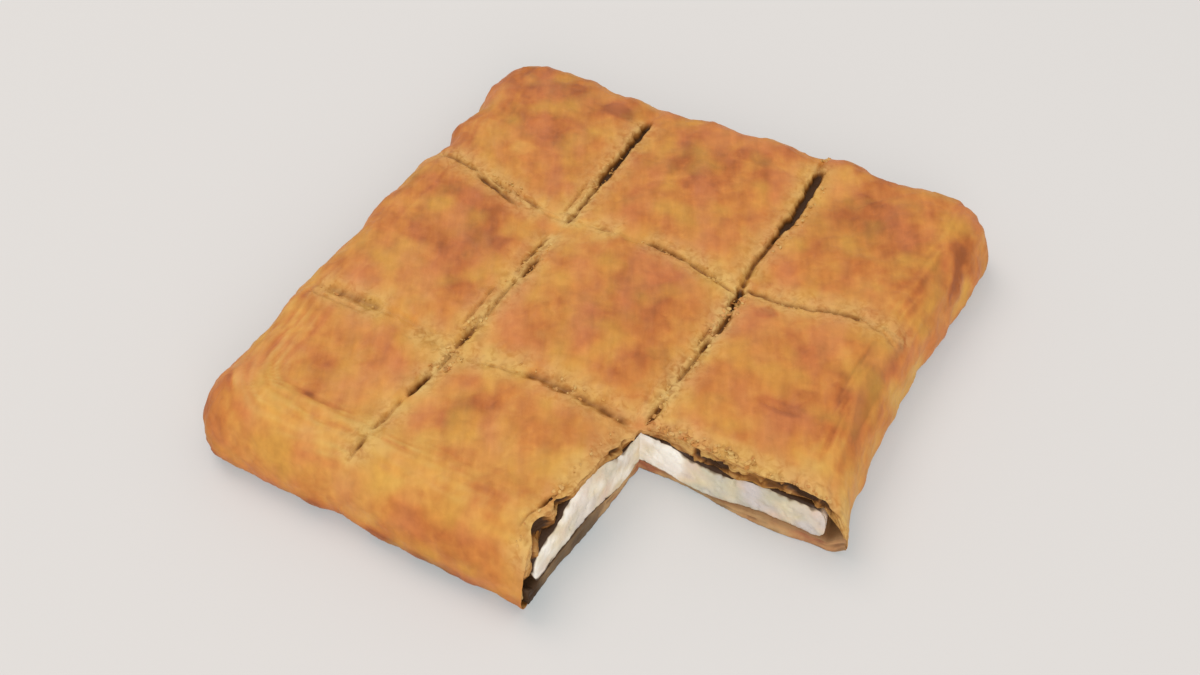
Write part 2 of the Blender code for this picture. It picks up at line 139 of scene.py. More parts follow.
CROWNS = ((0.8, 1.0, 0.0), (0.8, 1.8, 1.2), (1.0, 1.2, 1.0))
CROWN_POWER = 4.0
PRESSED = (160, 72, 11.0, 4.5)
VALLEY_DEPTH = 0.8
VALLEY_HALF_WIDTH = 4.0
VALLEY_FROM = (2.0, 12.0)
RIDGE_IN = 21.0
RIDGE_HALF_WIDTH = 7.0
RIDGE_HEIGHT = 1.6
SWELLS = ((38.0, 1.1), (15.0, 0.5))

# ---- Detail that only the fine meshes hold ----

# An uneven value is (its mean, how far it strays, the size of its swells). A value that rises from a place,
# or falls to 0 at it, is (the place, over what distance).

# Where the knife lines gape: (line, from, to, offset at each end, half width, depth)
GAPES = (
    ("A", 10, 24, 0.3, -0.4, 1.5, 1.8), ("A", 22, 46, -0.4, -1.2, 1.2, 1.2),
    ("A", 44, 61, -0.6, -0.3, 1.7, 2.5), ("A", 59, 76, 1.2, 0.6, 1.2, 1.2),
    ("A", 73, 92, 0.6, 0.4, 1.9, 2.2), ("A", 84, 112, -3.6, -4.6, 0.9, 1.0),
    ("A", 91, 119, 1.2, -0.2, 1.1, 1.3), ("A", 118, 135, 1.6, 0.8, 1.7, 2.5),
    ("A", 123, 147, -3.0, -2.0, 1.1, 1.4), ("A", 153, 190, 0.4, 0.2, 1.3, 1.8),
    ("A", 160, 186, -4.0, -4.4, 0.8, 1.0), ("A", 183, 237, 0.4, 0.8, 2.0, 5.0),
    ("B", 75, 90, 0.0, 0.0, 1.8, 2.5), ("B", 76, 112, -5.0, -7.5, 0.8, 0.7),
    ("B", 97, 119, 0.0, 0.2, 1.2, 1.6), ("B", 115, 128, 0.6, 0.2, 1.6, 2.3),
    ("B", 118, 135, -2.2, -2.4, 1.0, 1.2), ("B", 128, 146, 1.6, 1.0, 1.9, 2.7),
    ("B", 143, 161, 0.8, 0.2, 2.3, 3.3), ("B", 156, 174, 0.0, 0.4, 1.7, 2.2),
    ("B", 166, 190, 0.2, 0.0, 1.6, 2.2), ("B", 182, 202, -0.2, -0.8, 1.5, 2.8),
    ("B", 193, 240, -0.6, 1.5, 2.3, 7.6), ("B", 234, 247, 0.6, 0.2, 1.2, 1.4),
    ("C", 10, 34, -0.6, 0.2, 1.5, 1.6), ("C", 14, 24, -7.5, -7.5, 1.4, 0.7),
    ("C", 31, 58, -0.6, -3.6, 2.1, 2.1), ("C", 36, 52, 1.4, 0.6, 1.4, 1.3),
    ("C", 49, 68, 2.6, 1.4, 1.4, 1.4), ("C", 66, 82, 0.0, -1.4, 1.0, 0.7),
    ("C", 90, 102, -1.0, -1.0, 1.6, 1.0), ("C", 113, 136, 0.4, -1.4, 2.1, 2.0),
    ("C", 133, 151, -1.2, -1.4, 1.8, 1.7), ("C", 148, 167, -1.4, -3.0, 1.5, 1.4),
    ("C", 168, 197, 0.6, -1.8, 1.7, 1.4), ("C", 190, 217, -1.4, 0.0, 1.8, 1.6),
    ("C", 213, 234, 0.4, -7.0, 1.3, 1.0), ("C", 160, 177, 1.2, 0.6, 1.6, 1.9),
    ("B", 22, 34, -4.6, -3.4, 1.2, 2.4), ("B", 12, 25, -6.5, -4.5, 0.9, 1.2),
    ("D", 16, 46, 1.8, 0.8, 3.0, 1.4), ("D", 43, 72, 1.2, 2.6, 2.0, 0.8),
    ("D", 10, 42, -3.4, -4.2, 1.3, 0.7), ("D", 90, 112, -1.6, -2.4, 1.2, 0.8),
    ("D", 108, 133, -0.8, -0.8, 2.9, 1.7), ("D", 125, 133, 1.0, 1.0, 1.3, 1.9),
    ("D", 129, 158, -0.6, -0.4, 2.6, 1.8),
)
# How far from its line a gape can lie, how its ends taper, how far its walls reach, how deep it is at most,
# at what depth its painted shade is full, and how its edges wander
GAPE_NEAR = 14.0
GAPE_END = 5.0
GAPE_END_WIDTH = 0.35
GAPE_WALL = 1.25
GAPE_DEEPEST = 3.2
GAPE_SHADE = 3.6
GAPE_WANDER = (0.0, 0.45, 5.0)
GAPE_RAGGED = (1.0, 0.45, 2.2)
GAPE_BROKEN = (1.0, 0.5, 2.6)
# The raised lips beside a gape: their height, reach and distance, from what depth of the gape they are full,
# and how deep it is where they end
LIP_RISE = 0.28
LIP_REACH = 1.6
LIP_BESIDE = 0.5
LIP_FULL_DEPTH = 3.0
LIP_CLEAR = 0.3

# Browner places on the crust, and paler ones below 0: (x, y, radius along x, radius along y, strength)
BAKED = (
    (28, 232, 26, 14, 0.22), (66, 233, 7, 5, 0.3), (42, 204, 16, 14, 0.2), (62, 190, 12, 26, 0.1),
    (112, 215, 16, 14, 0.22), (132, 232, 9, 6, 0.28), (112, 182, 16, 22, 0.12), (190, 226, 14, 14, 0.2),
    (204, 200, 16, 18, 0.13), (232, 180, 8, 60, 0.2), (45, 132, 20, 22, 0.28), (62, 112, 14, 18, 0.1),
    (124, 116, 18, 20, 0.24), (146, 98, 11, 15, 0.22), (120, 146, 20, 8, 0.14), (182, 134, 14, 7, 0.16),
    (228, 118, 11, 24, 0.28), (203, 103, 9, 3.5, 0.32), (206, 90, 9, 7, 0.2), (184, 86, 11, 6, 0.12),
    (41, 34, 9, 11, 0.26), (20, 80, 12, 18, 0.12), (106, 47, 9, 11, 0.34), (139, 54, 15, 8, 0.12),
    (120, 6, 16, 5, 0.2), (175, 148, 6, 3.5, 0.5), (58, 60, 18, 8, 0.1), (8, 150, 5, 30, 0.12),
    (27, 26, 16, 14, -0.2), (90, 16, 26, 14, -0.14), (28, 182, 16, 8, -0.18), (69, 219, 9, 8, -0.22),
    (152, 228, 12, 11, -0.2), (172, 234, 8, 10, -0.3), (152, 40, 8, 34, -0.2), (172, 148, 20, 12, -0.14),
    (82, 72, 16, 10, -0.16), (88, 148, 16, 12, -0.12), (205, 140, 14, 12, -0.1), (196, 158, 26, 8, -0.12),
    (150, 172, 10, 14, -0.12), (70, 168, 12, 12, -0.1), (120, 34, 16, 12, -0.1), (60, 46, 14, 10, -0.1),
    (190, 78, 30, 4, -0.2), (226, 80, 12, 8, -0.25), (240, 84, 5, 10, -0.2), (206, 122, 10, 18, 0.2),
    (167, 163, 5, 4, 0.35), (4, 8, 16, 12, 0.28), (126, 2, 30, 5, 0.16),
)
BAKED_SHARE = 0.85
BAKED_RAGGED = (0.0, 0.9, 6.0)
BAKED_TO = (1.7, 1.1)
BROWN_MEAN = 0.42
BROWN_SWELLS = ((24.0, 0.12), (9.0, 0.12))
LINE_PALE = 0.24
LINE_PALE_REACH = 9.0
LINE_PALE_UNEVEN = (0.7, 0.6, 8.0)
BACK_BROWN = 0.11
RAISED_BROWN = 0.22
# How much browner and darker the hem is along the front side, as (x, how much), partly browning and partly
# painted shade near the floor, and how much painted shade lies underneath, each with the height where it ends
# and the distance over which it fades
HEM_BROWN_AND_SHADE = ((0, 0.45), (40, 0.35), (70, 0.4), (95, 0.7), (115, 1.0), (135, 0.75), (155, 0.4))
HEM_UNEVEN = (0.7, 0.8, 7.0)
HEM_DARKER_TO = (11.0, 5.0)
HEM_SHADE = 0.45
HEM_SHADE_TO = (6.5, 2.5)

# Torn, crumbly strips along the knife lines: (line, from, to, half width, strength). They have small bumps
# and dark specks, and the crust beside them is a little torn too.
TORN = (
    ("A", 6, 44, 2.6, 0.65), ("A", 44, 78, 3.4, 0.9), ("A", 78, 150, 3.0, 0.8), ("A", 150, 236, 3.2, 0.9),
    ("B", 75, 118, 3.6, 0.9), ("B", 112, 162, 3.4, 1.0), ("B", 160, 245, 3.0, 0.75),
    ("C", 6, 72, 2.8, 0.7), ("C", 86, 106, 2.0, 0.4), ("C", 110, 168, 2.4, 0.5), ("C", 164, 238, 2.4, 0.6),
    ("D", 10, 50, 2.2, 0.5), ("D", 58, 114, 2.4, 0.5), ("D", 112, 160, 1.6, 0.2), ("D", 158, 243, 3.0, 0.7),
    ("B", 0, 76, 2.0, 0.7),
)
TORN_ENDS = 6.0
TORN_WANDER = (0.0, 1.2, 9.0)
TORN_RAGGED = (1.3, 0.8, 5.0)
TORN_BESIDE = 0.5
TORN_BESIDE_REACH = 8.0
TORN_BUMPS = ((2.6, 0.34), (1.2, 0.12))
SPECK_SIZE = 2.2
SPECKS_FROM = (0.1, 0.3)
SPECK_GLOOM = 0.25

# Relief of the baked surface: (size of a swell, its height), and how much of it shows where
SCALLOPS = (12.0, 1.8)
TOP_SCALLOPS = 0.15
FRONT_SCALLOPS = 0.45
HEM_RELIEF = 0.35
SIDES_FROM = (0.25, 0.7)
SIDES_DRAWN_IN = 1.0
FRONT_FADE = 40.0
BUMPS = ((8.0, 0.5), (3.6, 0.22))
# Streaks: their width, length and height, their size upwards, and the way that they run
STREAKS = (3.6, 16.0, 0.26)
STREAK_UPWARDS = 6.0
STREAK_TURN = 117.0
# Flaky sheets: the size of their swells, of finer ones and their share, how many steps and a step's height,
# and in what part of a step its edge rises
SHEETS = (17.0, 5.0, 0.35, 2.4, 0.4)
SHEET_EDGE = 1 / 6
# Fine folds along the sides: their width, length and height, their size upwards, how sharp their crests are,
# what they don't go below, what is level, how they bend and lean, the corner that they bend round, how
# they begin and end, and how much paler their crests and browner their furrows are painted, as painted
# light and shade
CREASES = (3.4, 34.0, 0.85)
CREASE_UPWARDS = 8.0
CREASE_SHARP = 2.2
CREASE_LEAST = -0.6
CREASE_MEAN = 0.45
CREASE_BEND = (0.0, 2.5, 30.0)
CREASE_LEAN = 0.6
CREASE_CORNER = 36.0
CREASE_ENDS = (5.0, 10.0)
CREASE_LIGHT_AND_SHADE = 0.5
# Where they start and end, in from the side, and how strong they are
CREASES_FRONT = (5.0, 32.0, 1.0)
CREASES_RIGHT = (2.0, 26.0, 0.8)
# Where they get weaker, over what distance and by how much: towards the right, and along the left side
CREASES_WEAK_FROM = (80.0, 50.0, 0.6)
CREASES_LEFT_WEAK = (46.0, 40.0, 0.75)
# A dent in the crust: (x, y, reach along x, reach along y, depth)
DENT = (203, 103, 9.0, 1.5, 0.9)
# The lowest height that the lid comes down to
LOWEST = 0.3

# How much painted shade the lid's underside has, there and at its low front end, where that is, and how
# pale the lip's underside is painted, as painted light in its shaded hollow
UNDERSIDE_SHADE = (0.5, 0.95)
UNDERSIDE_UNEVEN = (0.0, 0.25, 5.0)
DARK_BEFORE = (24.0, 8.0)
DARK_BELOW = (22.0, 8.0)
LIP_PAINTED_LIGHT = 0.1

# The lid's cut faces: their layers' height and sway, how far one layer is from the next in the noises, and
# the grooves between them, with painted shade in them. LAYER_TORN and the grooves' painted shade end with
# the share of the thickness where they start.
LAYER_HEIGHT = 1.25
LAYER_SWAY = (0.0, 0.9, 12.0)
LAYER_WAVER = (0.0, 0.3, 3.0)
LAYERS_APART = (9.0, 5.0, 3.0)
LAYER_STEP = 0.5
LAYER_UNEVEN = (0.4, 1.0, 4.5)
LAYER_GRAIN = (0.0, 0.2, 1.1)
LAYER_BROWN = (0.25, 0.4, 4.0)
LAYER_TORN = (0.7, 0.1)
LAYER_GAP = 0.7
GROOVE_HALF = 0.3
GROOVE_PATCHY = (0.5, 1.8, 5.0)
GROOVE_SHADE = (0.25, 0.15)
LID_EDGE = 0.12
# How much darker the lid's lower layers are, and from what share of its thickness
UNDER_GLOOM = 0.25
UNDER_FROM = (0.45, 0.3)
UNDER_WAVER = (0.0, 0.3, 6.0)
# The open places in them, painted dark as shade: (on the left face, along it, height, half length, half
# height, how dark)
POCKETS = (
    (False, 164, 19.6, 1.6, 1.4, 0.8), (False, 171, 22.6, 4.0, 0.6, 0.4), (False, 179, 19.6, 3.2, 1.8, 0.85),
    (False, 184, 24.4, 1.6, 2.6, 0.9), (False, 190.5, 21.4, 6.4, 4.0, 1.0),
    (False, 197.5, 30.0, 2.6, 1.4, 0.8), (False, 200, 21.0, 4.0, 1.2, 0.8),
    (False, 207, 24.0, 5.0, 2.0, 0.5), (False, 214, 23.6, 4.0, 3.2, 0.8),
    (False, 225, 24.6, 9.0, 3.8, 1.0), (False, 234, 23.0, 3.6, 2.4, 0.9), (False, 206, 21.8, 6.0, 2.0, 0.6),
    (True, 8, 19.0, 1.4, 6.0, 0.8), (True, 12, 24.4, 3.4, 1.6, 0.5), (True, 18, 26.0, 4.0, 4.0, 1.0),
    (True, 29.5, 27.6, 3.0, 2.2, 1.0), (True, 43.5, 28.6, 1.8, 1.0, 0.5), (True, 24, 24.6, 2.0, 1.0, 0.6),
    (True, 60.5, 26.2, 3.2, 2.2, 0.9), (True, 66.5, 26.6, 2.6, 3.6, 1.0), (True, 56, 26.4, 1.6, 0.8, 0.4),
    (True, 1.5, 8.0, 3.2, 9.0, 1.0),
)
POCKET_DEPTH = 2.2
POCKET_RAGGED = ((2.4, 0.7), (1.0, 0.35))
POCKET_TO = (1.3, 0.6)
# How far the crust's edge wanders in and out, how fast that fades inside, and where it is broken away:
# (on the left face, along it, half length, depth)
RAGGED = ((7.0, 0.9), (7.0 / 3, 0.45))
RAGGED_FADE = 4.0
BROKEN = ((False, 221, 7.0, 1.0), (True, 17.5, 4.4, 2.4), (True, 29.5, 2.8, 2.4), (True, 66.5, 2.4, 2.0),
          (False, 168, 6.0, 1.0))

# How creamy and dark the cheese is along the cut faces, partly its own colour and partly painted shade
# under the crust's overhang, and how grey the base is, as (distance along the face, share)
CREAM_AND_SHADE_LEFT = ((-3, 0.3), (12, 0), (20, 0.3), (40, 0.2), (52, 0.4), (66, 0.2), (74, 0.5))
CREAM_AND_SHADE_BACK = ((160, 0.2), (168, 0), (176, 0), (182, 0.6), (194, 0.8), (206, 0.9), (220, 0.9), (232, 0.8))
GREY_LEFT = ((0, 0.9), (24, 1), (38, 1), (48, 0.5), (60, 0.3), (74, 0))
GREY_BACK = ((160, 0), (172, 0.1), (186, 0.7), (196, 0.25), (212, 0.15), (226, 0))

# The cheese: how creamy its skins are, how far its cut faces lie in, with lumps, and with pits of this size,
# depth and rarity. Its upper and lower edges are drawn in: (how far, over what share of the height)
CURD_CREAM_SKIN = 0.6
CURD_INSET = (0.3, 0.1, 0.9)
CURD_LUMPS = ((4.2, 0.4), (1.9, 0.25))
CURD_PITS = (2.6, 1.6, 0.3)
CURD_EDGES = ((0.9, 0.2), (0.15, 0.15))
LEAST_INSET = 0.05
CURD_CREAM_UNEVEN = (0.0, 0.35, 5.0)
# How much painted shade lies in its pits, along its upper edge under the lid and on its foot near the
# front, and where
PIT_SHADE = 0.4
PIT_SHADE_FROM = (0.25, 1.2)
LID_SHADE = (0.7, 0.12)
LID_SHADE_WAVER = (0.0, 0.12, 3.0)
FOOT_SHADE = (0.2, 0.9)
FOOT_FROM = (0.8, 0.15)
FOOT_SHADE_TO = (22.0, 6.0)
# The cheese's covered top is painted in shade, and from here on towards its right end it is not
CURD_TOP_SHADE_ENDS = (228.0, 4.0)

# The base: how browned and grey its skins are, how much painted shade they have under the cheese, and from
# where on that shade is lighter
BASE_BROWN = (0.7, 0.25, 12.0)
BASE_SKIN_SHADE = (0.85, 0.2)
BASE_SHADE_LIGHTER_FROM = (165.0, 20.0)
BASE_GREY = 0.3
# Its cut faces: how uneven they are, as (size, size upwards, height), and the dark seam between its layers
BASE_INSETS = ((3.0, 4.0, 0.35), (1.0, 6.0, 0.15))
BASE_INSET_MEAN = 0.4
BASE_UPPER_EDGE = (0.5, 0.2)
SEAM = (0.45, 0.16)
SEAM_WAVER = (0.0, 0.2, 7.0)
SEAM_PATCHY = (0.2, 1.8, 5.0)
SEAM_DEPTH = 0.6
SEAM_GLOOM = 0.5
# Where it stands back under the cheese: (along the back face, half length, how far)
BASE_BEHIND = (177, 12.0, 1.2)
# Its dark places: the size of their swells, along and upwards, how dark they are, and on the left face
SPOTS = (8.0, 10.0)
SPOTS_FROM = (0.05, 0.4)
SPOT_GLOOM = (0.4, 0.2)
# How much painted shade it has at the front end and under the cheese over a share of its height, and how
# dark it is along the left face as (middle, half length, how dark)
END_SHADE = 0.9
END_SHADE_TO = (16.0, 10.0)
SHADE_UNDER_CHEESE = (0.3, 0.35)
BASE_SOOTY = (30.0, 15.0, 0.4)
SOOTY_ENDS = 1.4
# How browned it is, browner towards the right end, and reddish at the corner between the faces
BASE_FACE_BROWN = (0.5, 0.5, 6.0)
BASE_FACE_BROWN_UP = 8.0
END_BROWN = 0.25
END_BROWN_FROM = (218.0, 10.0)
RED_CORNER = (75.0, 164.0)
RED_CORNER_REACH = 5.0
RED_CORNER_BROWN = 0.7
GREY_UNEVEN = (0.0, 0.3, 6.0)

# Mesh steps
TOP_STEP = 1.2
LINE_STEP = 0.42
LINE_REACH = 5.9
ROLL_STEPS = 30
HEM_STEPS = 6
UNDER_EVERY = 4
UNDER_CLEAR = 6.5
LID_FACE_ROWS = 26
SLAB_FACE_ROWS = 30
BASE_FACE_ROWS = 16
SLAB_STEP = 12.0
SLAB_FINE = 0.5
SLAB_RIM = (0.0, 0.5, 1.2, 2.2, 4.4)
SLAB_BESIDE = 2.5

# ---- The photograph's view ----

CAMERA_AT = (0.1814, -0.3486, 0.4402)
CAMERA_AZIMUTH = 28.5
CAMERA_ELEVATION = 48.0
CAMERA_LENS = 43.08
CAMERA_SENSOR = 36.0


# ---- Small helpers ----

def srgb(red, green, blue):
    """A colour given as 0 to 255 display values, as Blender's linear one."""
    channels = []
    for value in (red, green, blue):
        share = value / 255
        channels.append(share / 12.92 if share <= 0.04045 else ((share + 0.055) / 1.055) ** 2.4)
    return (*channels, 1.0)


def smooth(t):
    """From 0 to 1 with level ends."""
    t = np.clip(t, 0.0, 1.0)
    return t * t * (3 - 2 * t)


def rising(value, start, over):
    """0 up to the start, and 1 from a distance beyond it."""
    return smooth((value - start) / over)


def falling(value, end, over):
    """0 from the end on, and 1 up to a distance before it."""
    return smooth((end - value) / over)


def tapered(value, start, end, over):
    """1 along a stretch, falling to 0 at both of its ends."""
    return rising(value, start, over) * falling(value, end, over)


def hump(apart, reach):
    """1 in the middle, and falling away on both sides."""
    return np.exp(-((apart / reach) ** 2))


def mix(start, end, share):
    return start + (end - start) * share


def quarter_round(t):
    return np.sqrt(1 - (1 - np.clip(t, 0.0, 1.0)) ** 2)


def along(points, t):
    """The place across a line at the distances t along it, as a smooth curve through its points."""
    at = np.array([p[0] for p in points], float)
    across = np.array([p[1] for p in points], float)
    last = len(at) - 1
    before = np.maximum(np.arange(last + 1) - 1, 0)
    after = np.minimum(np.arange(last + 1) + 1, last)
    slopes = (across[after] - across[before]) / (at[after] - at[before])
    t = np.clip(t, at[0], at[-1])
    i = np.clip(np.searchsorted(at, t, side="right") - 1, 0, last - 1)
    span = at[i + 1] - at[i]
    s = (t - at[i]) / span
    start = across[i] * (1 + 2 * s) * (1 - s) ** 2 + slopes[i] * span * s * (1 - s) ** 2
    return start + across[i + 1] * s * s * (3 - 2 * s) - slopes[i + 1] * span * s * s * (1 - s)


def ripple(size, *point, seed=0.0):
    """Smooth noise between about -1 and 1. size is one number, or one for each coordinate."""
    arrays = np.broadcast_arrays(*point)
    sizes = size if isinstance(size, tuple) else (size,) * len(arrays)
    scaled = [(a / s).ravel() for a, s in zip(arrays, sizes)]
    while len(scaled) < 3:
        scaled.append(np.zeros_like(scaled[0]))
    scaled[2] = scaled[2] + seed * 7.3
    values = [noise.noise(p) for p in zip(*scaled)]
    return np.array(values).reshape(arrays[0].shape)


def uneven(value, *point, seed=0.0):
    """A value that strays from its mean in smooth swells."""
    mean, height, size = value
    return mean + height * ripple(size, *point, seed=seed)


def ripples(swells, *point, seed=0.0):
    """The sum of swells, given as (size, height), each with the next seed."""
    return sum(height * ripple(size, *point, seed=seed + n) for n, (size, height) in enumerate(swells))


def between(stations, value):
    """The offset at value, drawn evenly from those at the stations on either side."""
    result = stations[-1][1]
    for (low, low_offset), (high, high_offset) in reversed(list(zip(stations, stations[1:]))):
        drawn = mix(low_offset, high_offset, (value - low) / (high - low))
        result = np.where(value <= high, drawn, result)
    return result


# ---- The form, worked out over the even plan ----

def warp(x, y):
    """The real place of points of the even plan: the sides bulge and the knife lines wander."""
    across = (
        (0.0, along(LEFT_SIDE, y)),
        (SCORE_A_X, along(SCORE_A, y) - SCORE_A_X),
        (SCORE_B_X, along(SCORE_B, y) - SCORE_B_X),
        (WIDTH, along(RIGHT_SIDE, y) - WIDTH),
    )
    away = (
        (0.0, along(FRONT_SIDE, x)),
        (SCORE_D_Y, along(SCORE_D, x) - SCORE_D_Y),
        (SCORE_C_Y, along(SCORE_C, x) - SCORE_C_Y),
        (DEPTH, along(BACK_SIDE, x) - DEPTH),
    )
    return x + between(across, x), y + between(away, y)


def leaning(x, y, z):
    """The real place of points of the even plan at these heights, near the leaning left cut face."""
    near = smooth(1 - (SCORE_B_X - x) / LEAN_FADE) * falling(y, SCORE_D_Y, LEAN_OVER) * (x <= SCORE_B_X)
    lean = mix(LEAN_FOOT, LEAN_TOP, rising(z, LEAN_FROM, TOP_HEIGHT - LEAN_FROM))
    real_x, real_y = warp(x, y)
    return np.stack([real_x + near * lean, real_y, z], -1)


def cut_share(x, y):
    """1 at the cut faces, fading to 0 inside."""
    apart = np.hypot(np.maximum(SCORE_B_X - x, 0), np.maximum(y - SCORE_D_Y, 0))
    return smooth(1 - apart / CUT_FADE)


def near_cut(x, y, left, back, inside):
    """A thickness that follows its lists along the cut faces and fades to an even one inside."""
    at_face = along(left, y) + along(back, x) - left[-1][1]
    return mix(inside, at_face, cut_share(x, y))


def ragged_edge(x, y):
    """How far the crust near the cut faces is torn in or out, along X and along Y."""
    left = np.exp(-np.maximum(SCORE_B_X - x, 0) / RAGGED_FADE) * (y < SCORE_D_Y)
    back = np.exp(-np.maximum(y - SCORE_D_Y, 0) / RAGGED_FADE) * (x > SCORE_B_X)
    moved_left = moved_back = ripples(RAGGED, x + y)
    for on_left, middle, reach, depth in BROKEN:
        gone = depth * hump((y if on_left else x) - middle, reach)
        if on_left:
            moved_left = moved_left - gone
        else:
            moved_back = moved_back + gone
    return moved_left * left, moved_back * back


def round_corner(near_x, near_y):
    """Distances in from the two nearest sides, moved onto rings with round corners, and the outward
    direction there. Below zero a ring is under the bulge, and keeps the bulge's own outline."""
    ring = np.minimum(near_x, near_y)
    inside = np.maximum(ring, 0.0)
    radius = np.maximum(CORNER_RADIUS - inside, 1e-9)
    far = np.maximum(near_x, near_y)
    reach = (far - ring) * radius / (radius + inside - ring)
    turn = math.radians(45) * np.maximum(0.0, 1 - reach / radius)
    close_in = CORNER_RADIUS - radius * np.cos(turn)
    far_in = np.where(reach < radius, CORNER_RADIUS - radius * np.sin(turn), far)
    straight = CORNER_RADIUS - inside <= 0
    close_in = np.where(straight, ring, close_in)
    far_in = np.where(straight, far, far_in)
    out_close = np.where(straight, 1.0, np.cos(turn))
    out_far = np.where(straight, 0.0, np.sin(turn))
    by_x = near_x <= near_y
    return (
        np.where(by_x, close_in, far_in),
        np.where(by_x, far_in, close_in),
        np.where(by_x, out_close, out_far),
        np.where(by_x, out_far, out_close),
    )


def place(column, row, inwards=0.0):
    """Grid positions as (x, y) on the even plan, moved inwards along their rings' own directions."""
    left = column < WIDTH / 2
    front = row < DEPTH / 2
    near_x = np.where(left, column, WIDTH - column)
    near_y = np.where(front, row, DEPTH - row)
    in_x, in_y, out_x, out_y = round_corner(near_x, near_y)
    in_x = in_x + inwards * out_x
    in_y = in_y + inwards * out_y
    return np.where(left, in_x, WIDTH - in_x), np.where(front, in_y, DEPTH - in_y)


def ring_of(column, row):
    return np.minimum(np.minimum(column, row), np.minimum(WIDTH - column, DEPTH - row))


def right_share(x, y):
    """1 on the right side, 0 on the others."""
    nearest_other = np.minimum(np.minimum(x, y), DEPTH - y)
    return smooth((nearest_other - (WIDTH - x)) / RIGHT_FADE)


def lip_share(x, y):
    """1 where the right side ends at the cut, fading along the side."""
    return right_share(x, y) * smooth(1 - (y - SCORE_D_Y) / LIP_FADE)


def dome(value, start, end):
    """Near 1 over most of a stretch, and 0 at its ends and beyond."""
    apart = (2 * value - start - end) / (end - start)
    return np.maximum(1 - np.abs(apart) ** CROWN_POWER, 0)


def crown(x, y):
    """How far a portion's middle stands up."""
    lines_x = (0.0, SCORE_A_X, SCORE_B_X, WIDTH)
    lines_y = (0.0, SCORE_D_Y, SCORE_C_Y, DEPTH)
    height = np.zeros_like(x)
    for row in range(3):
        for column in range(3):
            across = dome(x, *lines_x[column:column + 2])
            height += CROWNS[row][column] * across * dome(y, *lines_y[row:row + 2])
    return height


def top_height(x, y):
    """The crust's uneven top without its knife lines, with the ridge that follows the front side."""
    height = TOP_HEIGHT + crown(x, y) + ripples(SWELLS, x, y)
    height += RIDGE_HEIGHT * hump(y - RIDGE_IN, RIDGE_HALF_WIDTH)
    pressed_x, pressed_y, radius, depth = PRESSED
    return height - depth * hump(np.hypot(x - pressed_x, y - pressed_y), radius)


def lid_thickness(x, y):
    return near_cut(x, y, LID_LEFT, LID_BACK, LID_THICKNESS)


def base_top(x, y):
    size, rise = BASE_SWELL
    return near_cut(x, y, BASE_LEFT, BASE_BACK, BASE_THICKNESS) + rise * ripple(size, x, y, seed=5)


# ---- The knife lines, the browning and the fine relief ----

LINES = {
    "A": (SCORE_A_X, True),
    "B": (SCORE_B_X, True),
    "C": (SCORE_C_Y, False),
    "D": (SCORE_D_Y, False),
}


def beside(line, x, y):
    """Places along a knife line and across it, and the line's own place across."""
    centre, runs_away = LINES[line]
    return (y, x, centre) if runs_away else (x, y, centre)


def gaping(x, y):
    """The knife lines' depth at each point, and how high their lips stand."""
    depth = np.zeros_like(x)
    lips = np.zeros_like(x)
    for seed, (line, start, end, offset, end_offset, half, deep) in enumerate(GAPES):
        t, across, centre = beside(line, x, y)
        close = (t > start) & (t < end) & (np.abs(across - centre) < GAPE_NEAR)
        if not close.any():
            continue
        t = t[close]
        across = across[close] - centre
        middle = mix(offset, end_offset, (t - start) / (end - start)) + uneven(GAPE_WANDER, t, seed=seed)
        ends = tapered(t, start, end, GAPE_END)
        wide = half * mix(GAPE_END_WIDTH, 1.0, ends) * uneven(GAPE_RAGGED, t, across, seed=seed + 50)
        apart = np.abs(across - middle)
        cut = deep * ends * (1 - smooth(apart / wide / GAPE_WALL)) * uneven(GAPE_BROKEN, t, seed=seed + 90)
        depth[close] = np.maximum(depth[close], np.minimum(cut, GAPE_DEEPEST))
        rise = LIP_RISE * ends * smooth(deep / LIP_FULL_DEPTH) * hump(apart - wide - LIP_BESIDE, LIP_REACH)
        lips[close] = np.maximum(lips[close], rise)
    return depth, lips * (depth < LIP_CLEAR)


def valleys(x, y):
    """A soft valley along every knife line, which fades on the rim."""
    deep = np.zeros_like(x)
    for line in LINES:
        _, across, centre = beside(line, x, y)
        deep = np.maximum(deep, VALLEY_DEPTH * hump(across - centre, VALLEY_HALF_WIDTH))
    return deep * rising(ring_of(x, y), *VALLEY_FROM)


def tearing(x, y):
    """How torn and crumbly the crust is along the knife lines, from 0 to 1."""
    torn = np.zeros_like(x)
    for seed, (line, start, end, half, strength) in enumerate(TORN):
        t, across, centre = beside(line, x, y)
        apart = across - centre + uneven(TORN_WANDER, t, seed=60 + seed)
        ends = tapered(t, start, end, TORN_ENDS)
        ragged = half * uneven(TORN_RAGGED, t, across, seed=80 + seed)
        torn = np.maximum(torn, strength * ends * hump(apart, ragged))
        torn = np.maximum(torn, TORN_BESIDE * ends * hump(apart, TORN_BESIDE_REACH))
    return torn


def browning(x, y):
    """How dark the crust is baked, about 0 where pale and 1 where darkest."""
    level = BROWN_MEAN + ripples(BROWN_SWELLS, x, y, seed=21)
    level += BACK_BROWN * (2 * y / DEPTH - 1)
    for spot_x, spot_y, reach_x, reach_y, strength in BAKED:
        apart = ((x - spot_x) / reach_x) ** 2 + ((y - spot_y) / reach_y) ** 2
        apart = apart + uneven(BAKED_RAGGED, x, y, seed=spot_x * 0.1)
        level += BAKED_SHARE * strength * falling(apart, *BAKED_TO)
    pale = LINE_PALE * uneven(LINE_PALE_UNEVEN, x, y, seed=24)
    for line in LINES:
        _, across, centre = beside(line, x, y)
        level -= pale * hump(across - centre, LINE_PALE_REACH)
    return level


